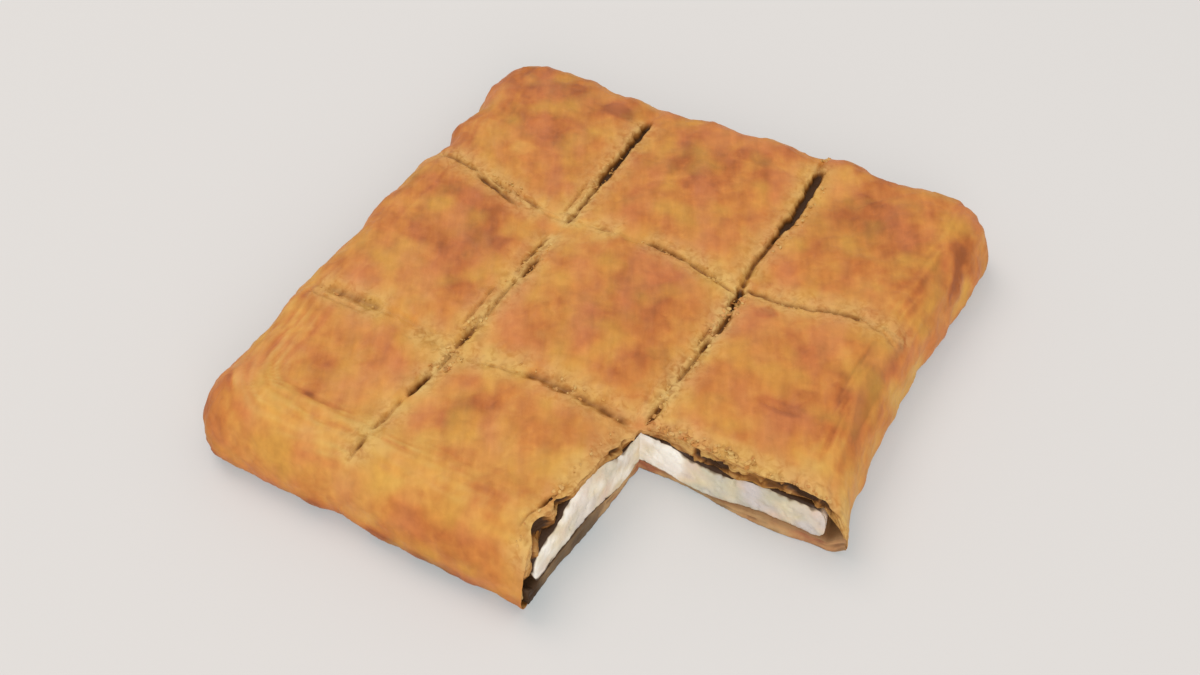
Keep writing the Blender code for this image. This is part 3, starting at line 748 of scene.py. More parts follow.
def ridged(x, y, z, seed):
    """Soft folds across x, above 0 on their crests and below it between them."""
    width, length, _ = CREASES
    folds = 1 - CREASE_SHARP * np.abs(ripple((width, length, CREASE_UPWARDS), x, y, z, seed=seed))
    return np.maximum(folds, CREASE_LEAST) - CREASE_MEAN


def creased(inwards, start, end, strength):
    """How strong the folds of a side are at these distances in from it."""
    over, fade = CREASE_ENDS
    return strength * rising(inwards, start, over) * falling(inwards, end, fade)


def creases(x, y, z):
    """Fine folds that follow the left and front sides, round their corner, and the right side."""
    bend = uneven(CREASE_BEND, x, y, seed=9) - z * CREASE_LEAN
    inwards = CREASE_CORNER - np.hypot(np.maximum(CREASE_CORNER - x, 0), np.maximum(CREASE_CORNER - y, 0))
    front = creased(inwards, *CREASES_FRONT)
    for value, (start, over, weaker) in ((x, CREASES_WEAK_FROM), (y, CREASES_LEFT_WEAK)):
        front = front * (1 - weaker * rising(value, start, over))
    right = creased(WIDTH - x, *CREASES_RIGHT)
    return front * ridged(inwards + bend, x - y, z, 10) + right * ridged(x - bend, y, z, 11)


def sheets(x, y, z):
    """Flaky sheets: each rises at its edge, and falls slowly to the next one."""
    size, small, share, levels, height = SHEETS
    level = levels * (ripple(size, x, y, z, seed=7) + share * ripple(small, x, y, z, seed=8))
    part = level - np.floor(level)
    return height * (smooth(part / SHEET_EDGE) - part)


def streaks(x, y, z):
    """Long low swells that run one way."""
    across, lengthwise, height = STREAKS
    turn = math.radians(STREAK_TURN)
    run = x * math.cos(turn) + y * math.sin(turn)
    off = y * math.cos(turn) - x * math.sin(turn)
    return height * ripple((lengthwise, across, STREAK_UPWARDS), run, off, z, seed=6)


def baked_relief(x, y, z, side):
    """How far the baked surface stands out of the smooth form, along its own direction."""
    size, height = SCALLOPS
    behind = smooth(y / FRONT_FADE)
    scalloped = mix(TOP_SCALLOPS, mix(FRONT_SCALLOPS, 1.0, behind), side)
    relief = height * ripple(size, x, y, z, seed=2) * scalloped - SIDES_DRAWN_IN * side * behind
    relief += ripples(BUMPS, x, y, z, seed=3) + streaks(x, y, z) + sheets(x, y, z)
    relief += CREASES[2] * creases(x, y, z)
    dent_x, dent_y, reach_x, reach_y, depth = DENT
    return relief - depth * hump(x - dent_x, reach_x) * hump(y - dent_y, reach_y)


def tints(brown, gloom, torn):
    """The three numbers that colour each vertex: how browned, how dark from painted shade and from dark
    specks and spots, and how torn.
    """
    return np.stack(np.broadcast_arrays(brown, gloom, torn), -1)


# ---- The three skins: their points and tints ----

def lid_skin(column, row, lower):
    """The lid's outer skin, or its underside."""
    ring = ring_of(column, row)
    x, y = place(column, row)
    lip = lip_share(x, y)
    shoulder = mix(SHOULDER, SHOULDER_RIGHT, right_share(x, y))
    under = ring < 0
    turn = np.where(under, math.radians(90) * ring, np.arccos(np.clip(1 - ring / shoulder, 0, 1)))
    out = np.cos(turn)
    up = np.sin(turn)
    hem = BULGE_HEIGHT + (BULGE_HEIGHT - mix(HEM_HEIGHT, LIP_HEIGHT, lip)) * up
    z = np.where(under, hem, mix(BULGE_HEIGHT, top_height(x, y), up))
    inwards = np.where(under, mix(HEM_TUCK, LIP_TUCK, lip) * (1 - out), 0.0)
    # Browner and darker low on the front side, partly browning and partly painted shade near the floor
    hem_brown_and_shade = along(HEM_BROWN_AND_SHADE, x) * uneven(HEM_UNEVEN, x, y, seed=36) * (y < SHOULDER)
    brown = browning(x, y) + hem_brown_and_shade * falling(z, *HEM_DARKER_TO)
    torn = 0.0
    if lower:
        rim = mix(RIM_THICKNESS, RIM_AT_CUT, cut_share(x, y) * (y < SCORE_D_Y))
        thickness = mix(mix(rim, LIP_THICKNESS, lip), lid_thickness(x, y), np.maximum(up, 0) ** 2)
        # Painted shade on the lid's underside, most at its low front end; the lip's underside has none and is
        # painted pale, as painted light in its shaded hollow
        low_front = falling(y, *DARK_BEFORE) * falling(z, *DARK_BELOW)
        gloom = mix(*UNDERSIDE_SHADE, low_front) + uneven(UNDERSIDE_UNEVEN, x, y, z, seed=33)
        gloom = mix(gloom, 0.0, lip)
        brown = mix(brown, LIP_PAINTED_LIGHT, lip)
        inwards = inwards + thickness * out
        z = z - thickness * up
    else:
        side = 1 - rising(up, *SIDES_FROM)
        relief = baked_relief(x, y, z, side) * mix(1.0, HEM_RELIEF, smooth(-ring))
        # Raised places are browner; the folds' crests are painted paler and their furrows browner, as painted
        # light and shade
        brown += RAISED_BROWN * relief - (CREASE_LIGHT_AND_SHADE + RAISED_BROWN * CREASES[2]) * creases(x, y, z)
        torn = tearing(x, y)
        depth, lips = gaping(x, y)
        lips = lips + torn * ripples(TORN_BUMPS, x, y, seed=14)
        specks = torn * rising(ripple(SPECK_SIZE, x, y, seed=17), *SPECKS_FROM)
        hem_shade = HEM_SHADE * hem_brown_and_shade * falling(hem, *HEM_SHADE_TO) * under
        # Painted shade deep in the knife lines and under the hem, and the torn crust's dark specks
        gloom = np.maximum(np.maximum(smooth(depth / GAPE_SHADE), SPECK_GLOOM * specks), hem_shade)
        inwards = inwards - relief * out
        z = z + relief * up - valleys(x, y) - depth + lips
    x, y = place(column, row, inwards)
    points = leaning(x, y, np.maximum(z, LOWEST))
    points[..., :2] += np.stack(ragged_edge(x, y), -1)
    return points, tints(brown, gloom, torn)


def filling_skin(column, row, lower):
    """The cheese's upper or lower side."""
    ring = ring_of(column, row) - FILLING_INSET
    x, y = place(column, row)
    roundness = quarter_round(ring / FILLING_ROUND)
    size, rise = GAP_ABOVE_SWELL
    gap = GAP_ABOVE + rise + rise * ripple(size, x, y, seed=8)
    gap = np.maximum(gap * near_cut(x, y, OPEN_LEFT, OPEN_BACK, 1.0), GAP_LEAST)
    top = top_height(x, y) - lid_thickness(x, y) - gap
    bottom = base_top(x, y) + GAP_BELOW
    middle = mix(bottom, top, FILLING_MIDDLE_SHARE)
    z = mix(middle, bottom if lower else top, mix(FILLING_EDGE_SHARE, 1.0, roundness))
    # Painted shade on the cheese's underside, most near the front, and on its covered top under the lid
    if lower:
        gloom = mix(*FOOT_SHADE, falling(y, *FOOT_SHADE_TO))
    else:
        gloom = 1 - rising(x, *CURD_TOP_SHADE_ENDS)
    return leaning(x, y, z), tints(CURD_CREAM_SKIN, gloom, 0.0)


def base_skin(column, row, lower):
    """The base's upper or lower side."""
    ring = ring_of(column, row) - BASE_INSET
    edge = 1 - smooth(ring / BASE_EDGE)
    x, y = place(column, row)
    lip = lip_share(x, y)
    if lower:
        z = mix(BASE_LIFT, BASE_LIFT_LIP, lip) * edge ** 2
    else:
        turned_up = base_top(x, y) + mix(BASE_TURN_UP, BASE_TURN_UP_LIP, lip) * edge
        z = mix(mix(BASE_END_HEIGHT, BASE_END_HEIGHT_LIP, lip), turned_up, quarter_round(ring / BASE_ROUND))
    brown = uneven(BASE_BROWN, x, y, seed=31)
    x, y = place(column, row, -BASE_LIP_REACH * edge * lip)
    points = leaning(x, y, z)
    points[..., 0] += along(PROUD_LEFT, row) * ((column == SCORE_B_X) & (row <= SCORE_D_Y))
    points[..., 1] -= along(PROUD_BACK, column) * ((row == SCORE_D_Y) & (column >= SCORE_B_X))
    # Painted shade on the base's skins under the cheese, lighter towards the right
    return points, tints(brown, mix(*BASE_SKIN_SHADE, rising(x, *BASE_SHADE_LIGHTER_FROM)), BASE_GREY)


# ---- The cut faces: how far in each point lies, and its tints ----

def along_cut(left, back, run, on_left):
    """A value that follows its lists along the two cut faces."""
    return np.where(on_left, along(left, run), along(back, run))


def pockets(run, height, on_left):
    """How open the lid's cut faces are and how much painted shade they have there, from 0 to 1."""
    hollow = np.zeros_like(height)
    edge = ripples(POCKET_RAGGED, run, height, seed=45)
    for left, middle, middle_height, reach, reach_up, dark in POCKETS:
        apart = np.hypot((run - middle) / reach, (height - middle_height) / reach_up) + edge
        hollow = np.maximum(hollow, dark * falling(apart, *POCKET_TO) * (on_left == left))
    return hollow


def lid_face(points, share, run, on_left):
    """Ragged layers of pastry, pale above and darker below, with painted shade in the grooves and the open
    pockets.
    """
    thickness = np.linalg.norm(points[:, -1] - points[:, 0], axis=-1)[:, None]
    level = share * thickness / LAYER_HEIGHT + uneven(LAYER_SWAY, run, seed=41)
    level = level + uneven(LAYER_WAVER, run, seed=49)
    layer = np.floor(level)
    part = level - layer
    apart_patchy, apart_inset, apart_brown = LAYERS_APART
    patchy = smooth(uneven(GROOVE_PATCHY, run, layer * apart_patchy, seed=42))
    groove = (1 - smooth(np.minimum(part, 1 - part) / GROOVE_HALF)) * patchy
    inset = LAYER_STEP * np.maximum(uneven(LAYER_UNEVEN, run, layer * apart_inset, seed=43), 0)
    inset += LAYER_GAP * groove + uneven(LAYER_GRAIN, run, share * thickness, seed=47)
    hollow = pockets(run, points[..., 2], on_left)
    inset = (np.maximum(inset, 0) + POCKET_DEPTH * hollow) * smooth(share / LID_EDGE)
    gloom = UNDER_GLOOM * rising(share + uneven(UNDER_WAVER, run, seed=44), *UNDER_FROM)
    # Painted shade in the grooves and the open pockets
    groove_shade, groove_edge = GROOVE_SHADE
    gloom = np.maximum(gloom, groove_shade * groove * smooth(share / groove_edge))
    gloom = np.maximum(gloom, hollow)
    brown = uneven(LAYER_BROWN, run, layer * apart_brown, seed=48)
    torn, torn_edge = LAYER_TORN
    return inset, tints(brown, gloom, torn * smooth(share / torn_edge))


def crumbly_face(points, share, run, on_left):
    """Pressed curds: soft lumps with small pits between them, whiter in some places than in others, partly as
    painted shade, and painted shade in the pits, under the lid and at the foot near the front.
    """
    height = points[..., 2]
    size, depth, rarity = CURD_PITS
    pits = np.maximum(ripple(size, run, height, seed=53) - rarity, 0) * depth
    inset = uneven(CURD_INSET, run, height, seed=54) + ripples(CURD_LUMPS, run, height, seed=51) + pits
    (above, above_share), (below, below_share) = CURD_EDGES
    drawn_in = above * (1 - smooth(share / above_share)) + below * (1 - smooth((1 - share) / below_share))
    # Painted shade along the upper edge under the lid, in the pits and on the foot near the front
    darkest, lid_share = LID_SHADE
    lid_shade = smooth(1 - (share + uneven(LID_SHADE_WAVER, run, seed=57)) / lid_share)
    lid_shade = lid_shade * along_cut(OPEN_LEFT, OPEN_BACK, run, on_left)
    gloom = PIT_SHADE * rising(pits, *PIT_SHADE_FROM) + darkest * lid_shade
    foot = rising(share, *FOOT_FROM) * falling(run, *FOOT_SHADE_TO) * on_left
    gloom = np.maximum(gloom, FOOT_SHADE[1] * foot)
    # Creamier and darker in places, partly the cheese's own colour and partly painted shade under the crust's
    # overhang
    cream_and_shade = along_cut(CREAM_AND_SHADE_LEFT, CREAM_AND_SHADE_BACK, run, on_left) + uneven(CURD_CREAM_UNEVEN, run, height, seed=55)
    return np.maximum(inset, LEAST_INSET) + drawn_in, tints(np.clip(cream_and_shade, 0, 1), gloom, 0.0)


def base_face(points, share, run, on_left):
    """A thinner sheet with dark and greyish places, and painted shade at the front end and under the cheese.
    """
    seam_at, seam_half = SEAM
    seam = hump(share - seam_at - uneven(SEAM_WAVER, run, seed=61), seam_half)
    seam = seam * smooth(uneven(SEAM_PATCHY, run, seed=62))
    edge, edge_share = BASE_UPPER_EDGE
    inset = BASE_INSET_MEAN + SEAM_DEPTH * seam + edge * (1 - smooth(share / edge_share))
    for seed, (size, upwards, height) in enumerate(BASE_INSETS):
        inset += height * ripple(size, run, share * upwards, seed=63 + seed)
    middle, half, behind = BASE_BEHIND
    inset += behind * hump(run - middle, half) * ~on_left
    size, upwards = SPOTS
    spots = rising(ripple(size, run, share * upwards, seed=66), *SPOTS_FROM)
    dark_spots, sooty_spots = SPOT_GLOOM
    # Painted shade under the cheese and at the front end
    cheese_shade, cheese_share = SHADE_UNDER_CHEESE
    middle, half, sooty = BASE_SOOTY
    sooty = sooty * smooth(SOOTY_ENDS - np.abs(run - middle) / half) + sooty_spots * spots
    gloom = np.maximum(SEAM_GLOOM * seam, dark_spots * spots)
    gloom = np.maximum(gloom, END_SHADE * falling(run, *END_SHADE_TO) * on_left)
    gloom = np.maximum(gloom, cheese_shade * (1 - smooth(share / cheese_share)) * ~on_left)
    gloom = np.maximum(gloom, sooty * on_left)
    corner = hump(run - np.where(on_left, *RED_CORNER), RED_CORNER_REACH)
    brown = uneven(BASE_FACE_BROWN, run, share * BASE_FACE_BROWN_UP, seed=65)
    brown = brown + END_BROWN * rising(run, *END_BROWN_FROM) + RED_CORNER_BROWN * corner
    grey = along_cut(GREY_LEFT, GREY_BACK, run, on_left) + uneven(GREY_UNEVEN, run, seed=67)
    return np.maximum(inset, LEAST_INSET), tints(brown, gloom * (1 - corner), np.clip(grey, 0, 1))


# ---- Building a piece ----

def spaced(start, end, step):
    """Positions between start and end, without either, about a step apart."""
    count = max(round((end - start) / step), 1)
    return [mix(start, end, k / count) for k in range(1, count)]


def lid_positions(length, first_line, second_line):
    """The lid's grid positions along one direction: even along the roll, and close along the lines."""
    rim = [-1 + k / HEM_STEPS for k in range(HEM_STEPS)]
    rim += [SHOULDER * (1 - math.cos(math.radians(90) * k / ROLL_STEPS)) for k in range(ROLL_STEPS + 1)]
    positions = rim + [length - p for p in rim]
    offsets = [k * LINE_STEP for k in range(-int(LINE_REACH / LINE_STEP), int(LINE_REACH / LINE_STEP) + 1)]
    ends = [SHOULDER]
    for line in (first_line, second_line):
        positions += [line + offset for offset in offsets]
        ends += [line + offsets[0], line + offsets[-1]]
    ends.append(length - SHOULDER)
    for start, end in zip(ends[::2], ends[1::2]):
        positions += spaced(start, end, TOP_STEP)
    return np.array(sorted(positions))


def slab_positions(length, inset, line, fine_from, fine_to):
    """A slab's grid positions along one direction: fine where a cut face runs, wide elsewhere."""
    low = inset
    high = length - inset
    positions = [low + r for r in SLAB_RIM] + [high - r for r in SLAB_RIM]
    positions += [line - SLAB_BESIDE, line, line + SLAB_BESIDE]
    fine_from = max(fine_from, low)
    fine_to = min(fine_to, high)
    positions += spaced(low, fine_from, SLAB_STEP) + spaced(fine_from, fine_to, SLAB_FINE)
    positions += spaced(fine_to, high, SLAB_STEP)
    return np.array(sorted(set(round(p, 4) for p in positions)))


def every_few(positions, line):
    """Indices of the underside's grid: every few positions, and none close beside the cut."""
    last = len(positions) - 1
    chosen = {0, last, nearest(positions, line)}
    chosen.update(k for k in range(0, last, UNDER_EVERY) if abs(positions[k] - line) > UNDER_CLEAR)
    return sorted(chosen)


def nearest(positions, line):
    return int(np.argmin(np.abs(positions - line)))


def cut_face(top, bottom, on_left, outward, face, face_rows):
    """The points and tints of the cut faces, from the upper skin down to the lower one."""
    share = np.tile(np.arange(face_rows + 1) / face_rows, (len(top), 1))
    points = top[:, None] + (bottom - top)[:, None] * share[..., None]
    on_left = on_left[:, None]
    run = np.where(on_left, points[..., 1], points[..., 0])
    inset, tinted = face(points, share, run, on_left)
    return points - outward[:, None] * inset[..., None], tinted


def round_plan(cut_i, cut_j, last_i, last_j):
    """The grid points round the plan in order, by way of the missing portion's inner corner."""
    outline = [(i, 0) for i in range(cut_i)] + [(cut_i, j) for j in range(cut_j)]
    outline += [(i, cut_j) for i in range(cut_i, last_i)] + [(last_i, j) for j in range(cut_j, last_j)]
    return outline + [(i, last_j) for i in range(last_i, 0, -1)] + [(0, j) for j in range(last_j, 0, -1)]


class Piece:
    """A closed mesh between an upper and a lower skin over the plan, without the missing portion."""

    def __init__(self, name, columns, rows, skin, face, face_rows, whole_underside):
        self.name = name
        self.skin = skin
        self.points = []
        self.tints = []
        self.faces = []
        self.moves = []
        self.count = 0
        cut_i = nearest(columns, SCORE_B_X)
        cut_j = nearest(rows, SCORE_D_Y)
        under_i = list(range(len(columns))) if whole_underside else every_few(columns, SCORE_B_X)
        under_j = list(range(len(rows))) if whole_underside else every_few(rows, SCORE_D_Y)
        upper = self.sheet(columns, rows, False, cut_i, cut_j)
        under = self.sheet(columns[under_i], rows[under_j], True, under_i.index(cut_i), under_j.index(cut_j))
        lower = {(i, j): int(under[a, b]) for a, i in enumerate(under_i) for b, j in enumerate(under_j)}
        outline = round_plan(cut_i, cut_j, len(columns) - 1, len(rows) - 1)
        strings = self.strings(outline, columns, rows, cut_i, cut_j, upper, lower, face, face_rows)
        self.walls(outline, strings, lower)

    def strings(self, outline, columns, rows, cut_i, cut_j, upper, lower, face, face_rows):
        """The numbers of the points down the side, from each outline point to just above the lower skin."""
        at = np.array(outline)
        top, top_tints = self.skin(columns[at[:, 0]], rows[at[:, 1]], False)
        bottom, bottom_tints = self.skin(columns[at[:, 0]], rows[at[:, 1]], True)
        strings = {spot: [int(upper[spot])] for spot in outline}
        on_left = (at[:, 0] == cut_i) & (at[:, 1] < cut_j)
        cut = on_left | ((at[:, 1] == cut_j) & (at[:, 0] >= cut_i))
        outward = np.stack([at[:, 0] == cut_i, -1.0 * ~on_left, np.zeros(len(at))], -1)
        points, tinted = cut_face(top[cut], bottom[cut], on_left[cut], outward[cut], face, face_rows)
        numbers = self.add(points[:, 1:-1], tinted[:, 1:-1])
        for n, spot in enumerate(tuple(ij) for ij in at[cut].tolist()):
            strings[spot] += numbers[n].tolist()
            self.moves.append((int(upper[spot]), points[n, 0]))
            if spot in lower:
                self.moves.append((lower[spot], points[n, -1]))
        middle = self.add((top[~cut] + bottom[~cut]) / 2, (top_tints[~cut] + bottom_tints[~cut]) / 2)
        for n, spot in enumerate(tuple(ij) for ij in at[~cut].tolist()):
            strings[spot].append(int(middle[n]))
        return strings

    def add(self, points, tinted):
        """Adds vertices and returns their numbers."""
        shape = points.shape[:-1]
        self.points.append(points.reshape(-1, 3))
        self.tints.append(tinted.reshape(-1, 3))
        first = self.count
        self.count += int(np.prod(shape))
        return np.arange(first, self.count).reshape(shape)

    def sheet(self, columns, rows, lower, cut_i, cut_j):
        """One skin's vertices and faces. Grid points of the missing portion are numbered -1."""
        column, row = np.meshgrid(columns, rows, indexing="ij")
        points, tinted = self.skin(column, row, lower)
        i, j = np.meshgrid(np.arange(len(columns)), np.arange(len(rows)), indexing="ij")
        there = ~((i > cut_i) & (j < cut_j))
        numbers = np.full(column.shape, -1)
        numbers[there] = self.add(points[there], tinted[there])
        cells = ~((i >= cut_i) & (j < cut_j))[:-1, :-1]
        corners = [numbers[:-1, :-1], numbers[1:, :-1], numbers[1:, 1:], numbers[:-1, 1:]]
        if lower:
            corners.reverse()
        self.faces += np.stack([c[cells] for c in corners], -1).tolist()
        return numbers

    def walls(self, outline, strings, lower):
        """Joins neighbouring strings of points down the side, and their ends to the lower skin's steps."""
        chain = []
        for spot, following in zip(outline, outline[1:] + outline[:1]):
            here = strings[spot]
            there = strings[following]
            if len(here) == len(there):
                for k in range(len(here) - 1):
                    self.faces.append((here[k], here[k + 1], there[k + 1], there[k]))
            else:
                self.faces.append(here + there[::-1])
            chain.append(spot)
            if following in lower:
                ends = [strings[s][-1] for s in chain + [following]]
                self.faces.append([ends[0], lower[chain[0]], lower[following]] + ends[:0:-1])
                chain = []

    def made(self, look, slot, node):
        """The finished object, in the place of its solid."""
        points = np.concatenate(self.points)
        for number, point in self.moves:
            points[number] = point
        return put(self.name, points, self.faces, np.concatenate(self.tints), look, node)


def add_object(name, data):
    made = bpy.data.objects.new(name, data)
    bpy.context.scene.collection.objects.link(made)
    return made


def put(name, points, faces, tinted, look, node=None):
    """A finished piece of the pie, with each vertex's tints kept for its material."""
    mesh = bpy.data.meshes.new(name)
    mesh.from_pydata(((points - (*MIDDLE, 0.0)) * MM).tolist(), [], faces)
    for k, tint in enumerate(("browning", "gloom", "torn")):
        attribute = mesh.attributes.new(tint, "FLOAT", "POINT")
        attribute.data.foreach_set("value", np.ascontiguousarray(tinted[:, k], np.float32))
    mesh.validate()
    mesh.shade_smooth()
    mesh.materials.append(look)
    piece = add_object(name, mesh)
    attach(piece, "root")
    if node:
        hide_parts(node)
    return piece


# ---- Looks ----

class Look:
    """A material whose node tree is written as short calls."""

    def __init__(self, name):
        self.material = bpy.data.materials.new(name)
        self.material.use_nodes = True
        self.tree = self.material.node_tree
        self.shader = self.tree.nodes["Principled BSDF"]
        self.place = self.node("ShaderNodeTexCoord").outputs["Object"]

    def node(self, kind, inputs=(), **settings):
        made = self.tree.nodes.new(kind)
        for key, value in settings.items():
            setattr(made, key, value)
        for key, value in dict(inputs).items():
            self.join(value, made.inputs[key])
        return made

    def join(self, value, socket):
        if isinstance(value, bpy.types.NodeSocket):
            self.tree.links.new(value, socket)
        else:
            socket.default_value = value

    def set(self, **values):
        for key, value in values.items():
            self.join(value, self.shader.inputs[key.replace("_", " ")])

    def attribute(self, name):
        return self.node("ShaderNodeAttribute", attribute_name=name).outputs["Fac"]

    def noise(self, size, detail=3.0, rough=0.55, stretch=(1, 1, 1), turn=0.0, shift=0.0, distort=0.0):
        """Noise from 0 to 1 with swells of this size in millimetres."""
        scale = tuple(s / (size * MM) for s in stretch)
        turned = self.node("ShaderNodeMapping", {"Vector": self.place, "Rotation": (0, 0, turn)})
        mapped = self.node(
            "ShaderNodeMapping",
            {"Vector": turned.outputs[0], "Scale": scale, "Location": (shift, shift, shift)},
        )
        made = self.node(
            "ShaderNodeTexNoise",
            {"Vector": mapped.outputs[0], "Scale": 1.0, "Detail": detail, "Roughness": rough,
             "Distortion": distort},
        )
        return made.outputs["Fac"]

    def math(self, operation, first, second=0.0, clamp=False):
        return self.node(
            "ShaderNodeMath", {0: first, 1: second}, operation=operation, use_clamp=clamp
        ).outputs[0]

    def total(self, *terms):
        """The sum of (value, weight) pairs."""
        result = None
        for value, weight in terms:
            weighted = self.math("MULTIPLY", value, weight)
            result = weighted if result is None else self.math("ADD", result, weighted)
        return result

    def range(self, value, low, high, to_low=0.0, to_high=1.0):
        return self.node(
            "ShaderNodeMapRange", {0: value, 1: low, 2: high, 3: to_low, 4: to_high}, clamp=True
        ).outputs[0]

    def ramp(self, value, stops):
        made = self.node("ShaderNodeValToRGB", {"Fac": value})
        elements = made.color_ramp.elements
        while len(elements) < len(stops):
            elements.new(0.5)
        for element, (position, colour) in zip(elements, stops):
            element.position = position
            element.color = colour
        return made.outputs["Color"]

    def blend(self, factor, first, second, blend_type="MIX"):
        made = self.node("ShaderNodeMix", data_type="RGBA", blend_type=blend_type)
        self.join(factor, made.inputs[0])
        self.join(first, made.inputs[6])
        self.join(second, made.inputs[7])
        return made.outputs[2]

    def lay(self, tint, colour, value, low, high, most=1.0):
        """The colour with a tint laid over it, more and more while the value rises from low to high."""
        return self.blend(self.range(value, low, high, 0, most), colour, tint)

    def bump(self, height, distance, strength):
        inputs = {"Height": height, "Distance": distance * MM, "Strength": strength}
        self.join(self.node("ShaderNodeBump", inputs).outputs[0], self.shader.inputs["Normal"])


# What is taken from the sum of the browning and the noises, so that it runs from 0 to 1 over a ramp
CRUST_LEVEL = 0.315
BASE_LEVEL = 0.35

PALE = srgb(210, 160, 83)
GOLDEN = srgb(206, 144, 69)
ORANGE = srgb(197, 124, 57)
BROWN = srgb(180, 103, 47)
DARK_BROWN = srgb(152, 83, 38)
YELLOW = srgb(206, 158, 66)
PINKISH = srgb(199, 118, 73)
# A darker brown for painted shade in shallow knife lines, grooves, under the lid and along the hem; it also
# colours the torn crust's dark specks and the lid's darker lower layers
CREVICE = srgb(142, 90, 36)
# Painted shade: deep in the knife lines and the lid's pockets, under the lid, and over the cheese's covered
# top
DEEP_SHADE = srgb(62, 36, 11)
TORN_PALE = srgb(213, 179, 111)
TORN_DARK = srgb(154, 108, 50)
# How bright the crust is made, where its blisters and streaks are low and where they are high
SHADES = (1.18, 0.82)

CURD_WHITE = srgb(252, 245, 234)
CURD = srgb(222, 203, 167)
# The creamiest cheese, darker and greyer; along the cut faces it is partly painted shade under the crust's
# overhang
CURD_CREAM = srgb(190, 181, 158)
CURD_YELLOW = srgb(230, 214, 178)
CURD_PINK = srgb(228, 200, 184)
CURD_GREY = srgb(196, 194, 176)
CURD_COOL = srgb(204, 196, 197)
# Painted shade in the cheese's pits and on its covered parts
CURD_SHADE = srgb(158, 132, 96)
BASE_PALE = srgb(208, 168, 118)
BASE_TAN = srgb(194, 148, 98)
BASE_RED = srgb(162, 98, 66)
BASE_OLIVE = srgb(106, 90, 68)
# Dark spots and seams of the base, and painted shade at its front end and under the cheese
BASE_DARK = srgb(66, 44, 24)


def crust_look():
    """Golden brown baked pastry: patchy, browner where it stands up, and pale where it is torn."""
    look = Look("top_crust_baked")
    streak_turn = math.radians(90 - STREAK_TURN)
    blisters = look.noise(4.2, rough=0.5, shift=5.7, distort=0.3)
    streaky = look.noise(3.6, detail=2, rough=0.5, stretch=(1, 0.22, 1), turn=streak_turn, shift=9.2)
    level = look.total(
        (look.attribute("browning"), 1.0),
        (look.noise(14, detail=2, rough=0.5, shift=3.1), 0.5),
        (blisters, 0.14),
        (streaky, 0.2),
    )
    level = look.math("SUBTRACT", level, CRUST_LEVEL)
    colour = look.ramp(level, ((0.0, PALE), (0.28, GOLDEN), (0.52, ORANGE), (0.78, BROWN), (1.0, DARK_BROWN)))
    yellow = look.noise(16, detail=1, rough=0.5, shift=12.0)
    colour = look.lay(YELLOW, colour, yellow, 0.44, 0.7, 0.5)
    pink = look.noise(14, detail=1, rough=0.5, stretch=(1, 0.5, 1), turn=streak_turn, shift=15.0)
    colour = look.lay(PINKISH, colour, pink, 0.46, 0.7, 0.5)
    patchy = look.noise(9, detail=2, rough=0.5, shift=19.0)
    shades = look.total((blisters, 0.5), (streaky, 0.6), (patchy, 0.2))
    colour = look.blend(1.0, colour, look.range(shades, 0.3, 1.0, *SHADES), "MULTIPLY")
    crumbs = look.noise(3.4, rough=0.6, shift=30.0, distort=0.8)
    crumbs = look.ramp(crumbs, ((0.34, TORN_DARK), (0.56, TORN_PALE)))
    colour = look.lay(crumbs, colour, look.attribute("torn"), 0.05, 1.0, 0.8)
    # Painted shade in the knife lines, grooves, pockets, under the lid and along the hem, and the torn
    # crust's dark specks
    gloom = look.attribute("gloom")
    colour = look.lay(CREVICE, colour, gloom, 0.03, 0.55)
    colour = look.lay(DEEP_SHADE, colour, gloom, 0.5, 1.0)
    roughness = look.range(look.noise(5, shift=21.0), 0.3, 0.7, 0.45, 0.62)
    look.set(Base_Color=colour, Roughness=roughness, Specular_IOR_Level=0.22)
    height = look.total((blisters, 0.5), (streaky, 0.5), (look.noise(1.6, rough=0.5, shift=27.0), 0.1))
    look.bump(height, distance=0.8, strength=0.7)
    return look.material


def filling_look():
    """Moist pressed white cheese, in uneven cream, pinkish and greyish whites."""
    look = Look("cheese_filling_curd")
    creamy = look.attribute("browning")
    patchy = look.range(creamy, 0.0, 0.6, 0.2, 1.0)
    # Creamier towards the darker greyish cream, which along the cut faces is partly painted shade under the
    # crust's overhang
    colour = look.ramp(creamy, ((0.0, CURD_WHITE), (0.5, CURD), (1.0, CURD_CREAM)))
    for shift, patch in ((6.0, CURD_YELLOW), (9.0, CURD_PINK), (17.0, CURD_GREY), (25.0, CURD_COOL)):
        patch_share = look.range(look.noise(13, detail=1, shift=shift), 0.46, 0.66, 0, 0.7)
        colour = look.blend(look.math("MULTIPLY", patch_share, patchy), colour, patch)
    # Painted shade in the pits, under the lid and over the cheese's covered parts
    gloom = look.attribute("gloom")
    colour = look.lay(CURD_SHADE, colour, gloom, 0.1, 0.5, 0.6)
    colour = look.lay(DEEP_SHADE, colour, gloom, 0.4, 0.9)
    look.set(Base_Color=colour, Roughness=0.5, Specular_IOR_Level=0.3)
    look.set(Subsurface_Weight=0.1, Subsurface_Scale=0.002, Subsurface_Radius=(1.0, 0.8, 0.6))
    curds = look.total((look.noise(2.2, shift=12.0), 0.8), (look.noise(0.8, shift=14.0), 0.2))
    look.bump(curds, distance=0.5, strength=0.6)
    return look.material


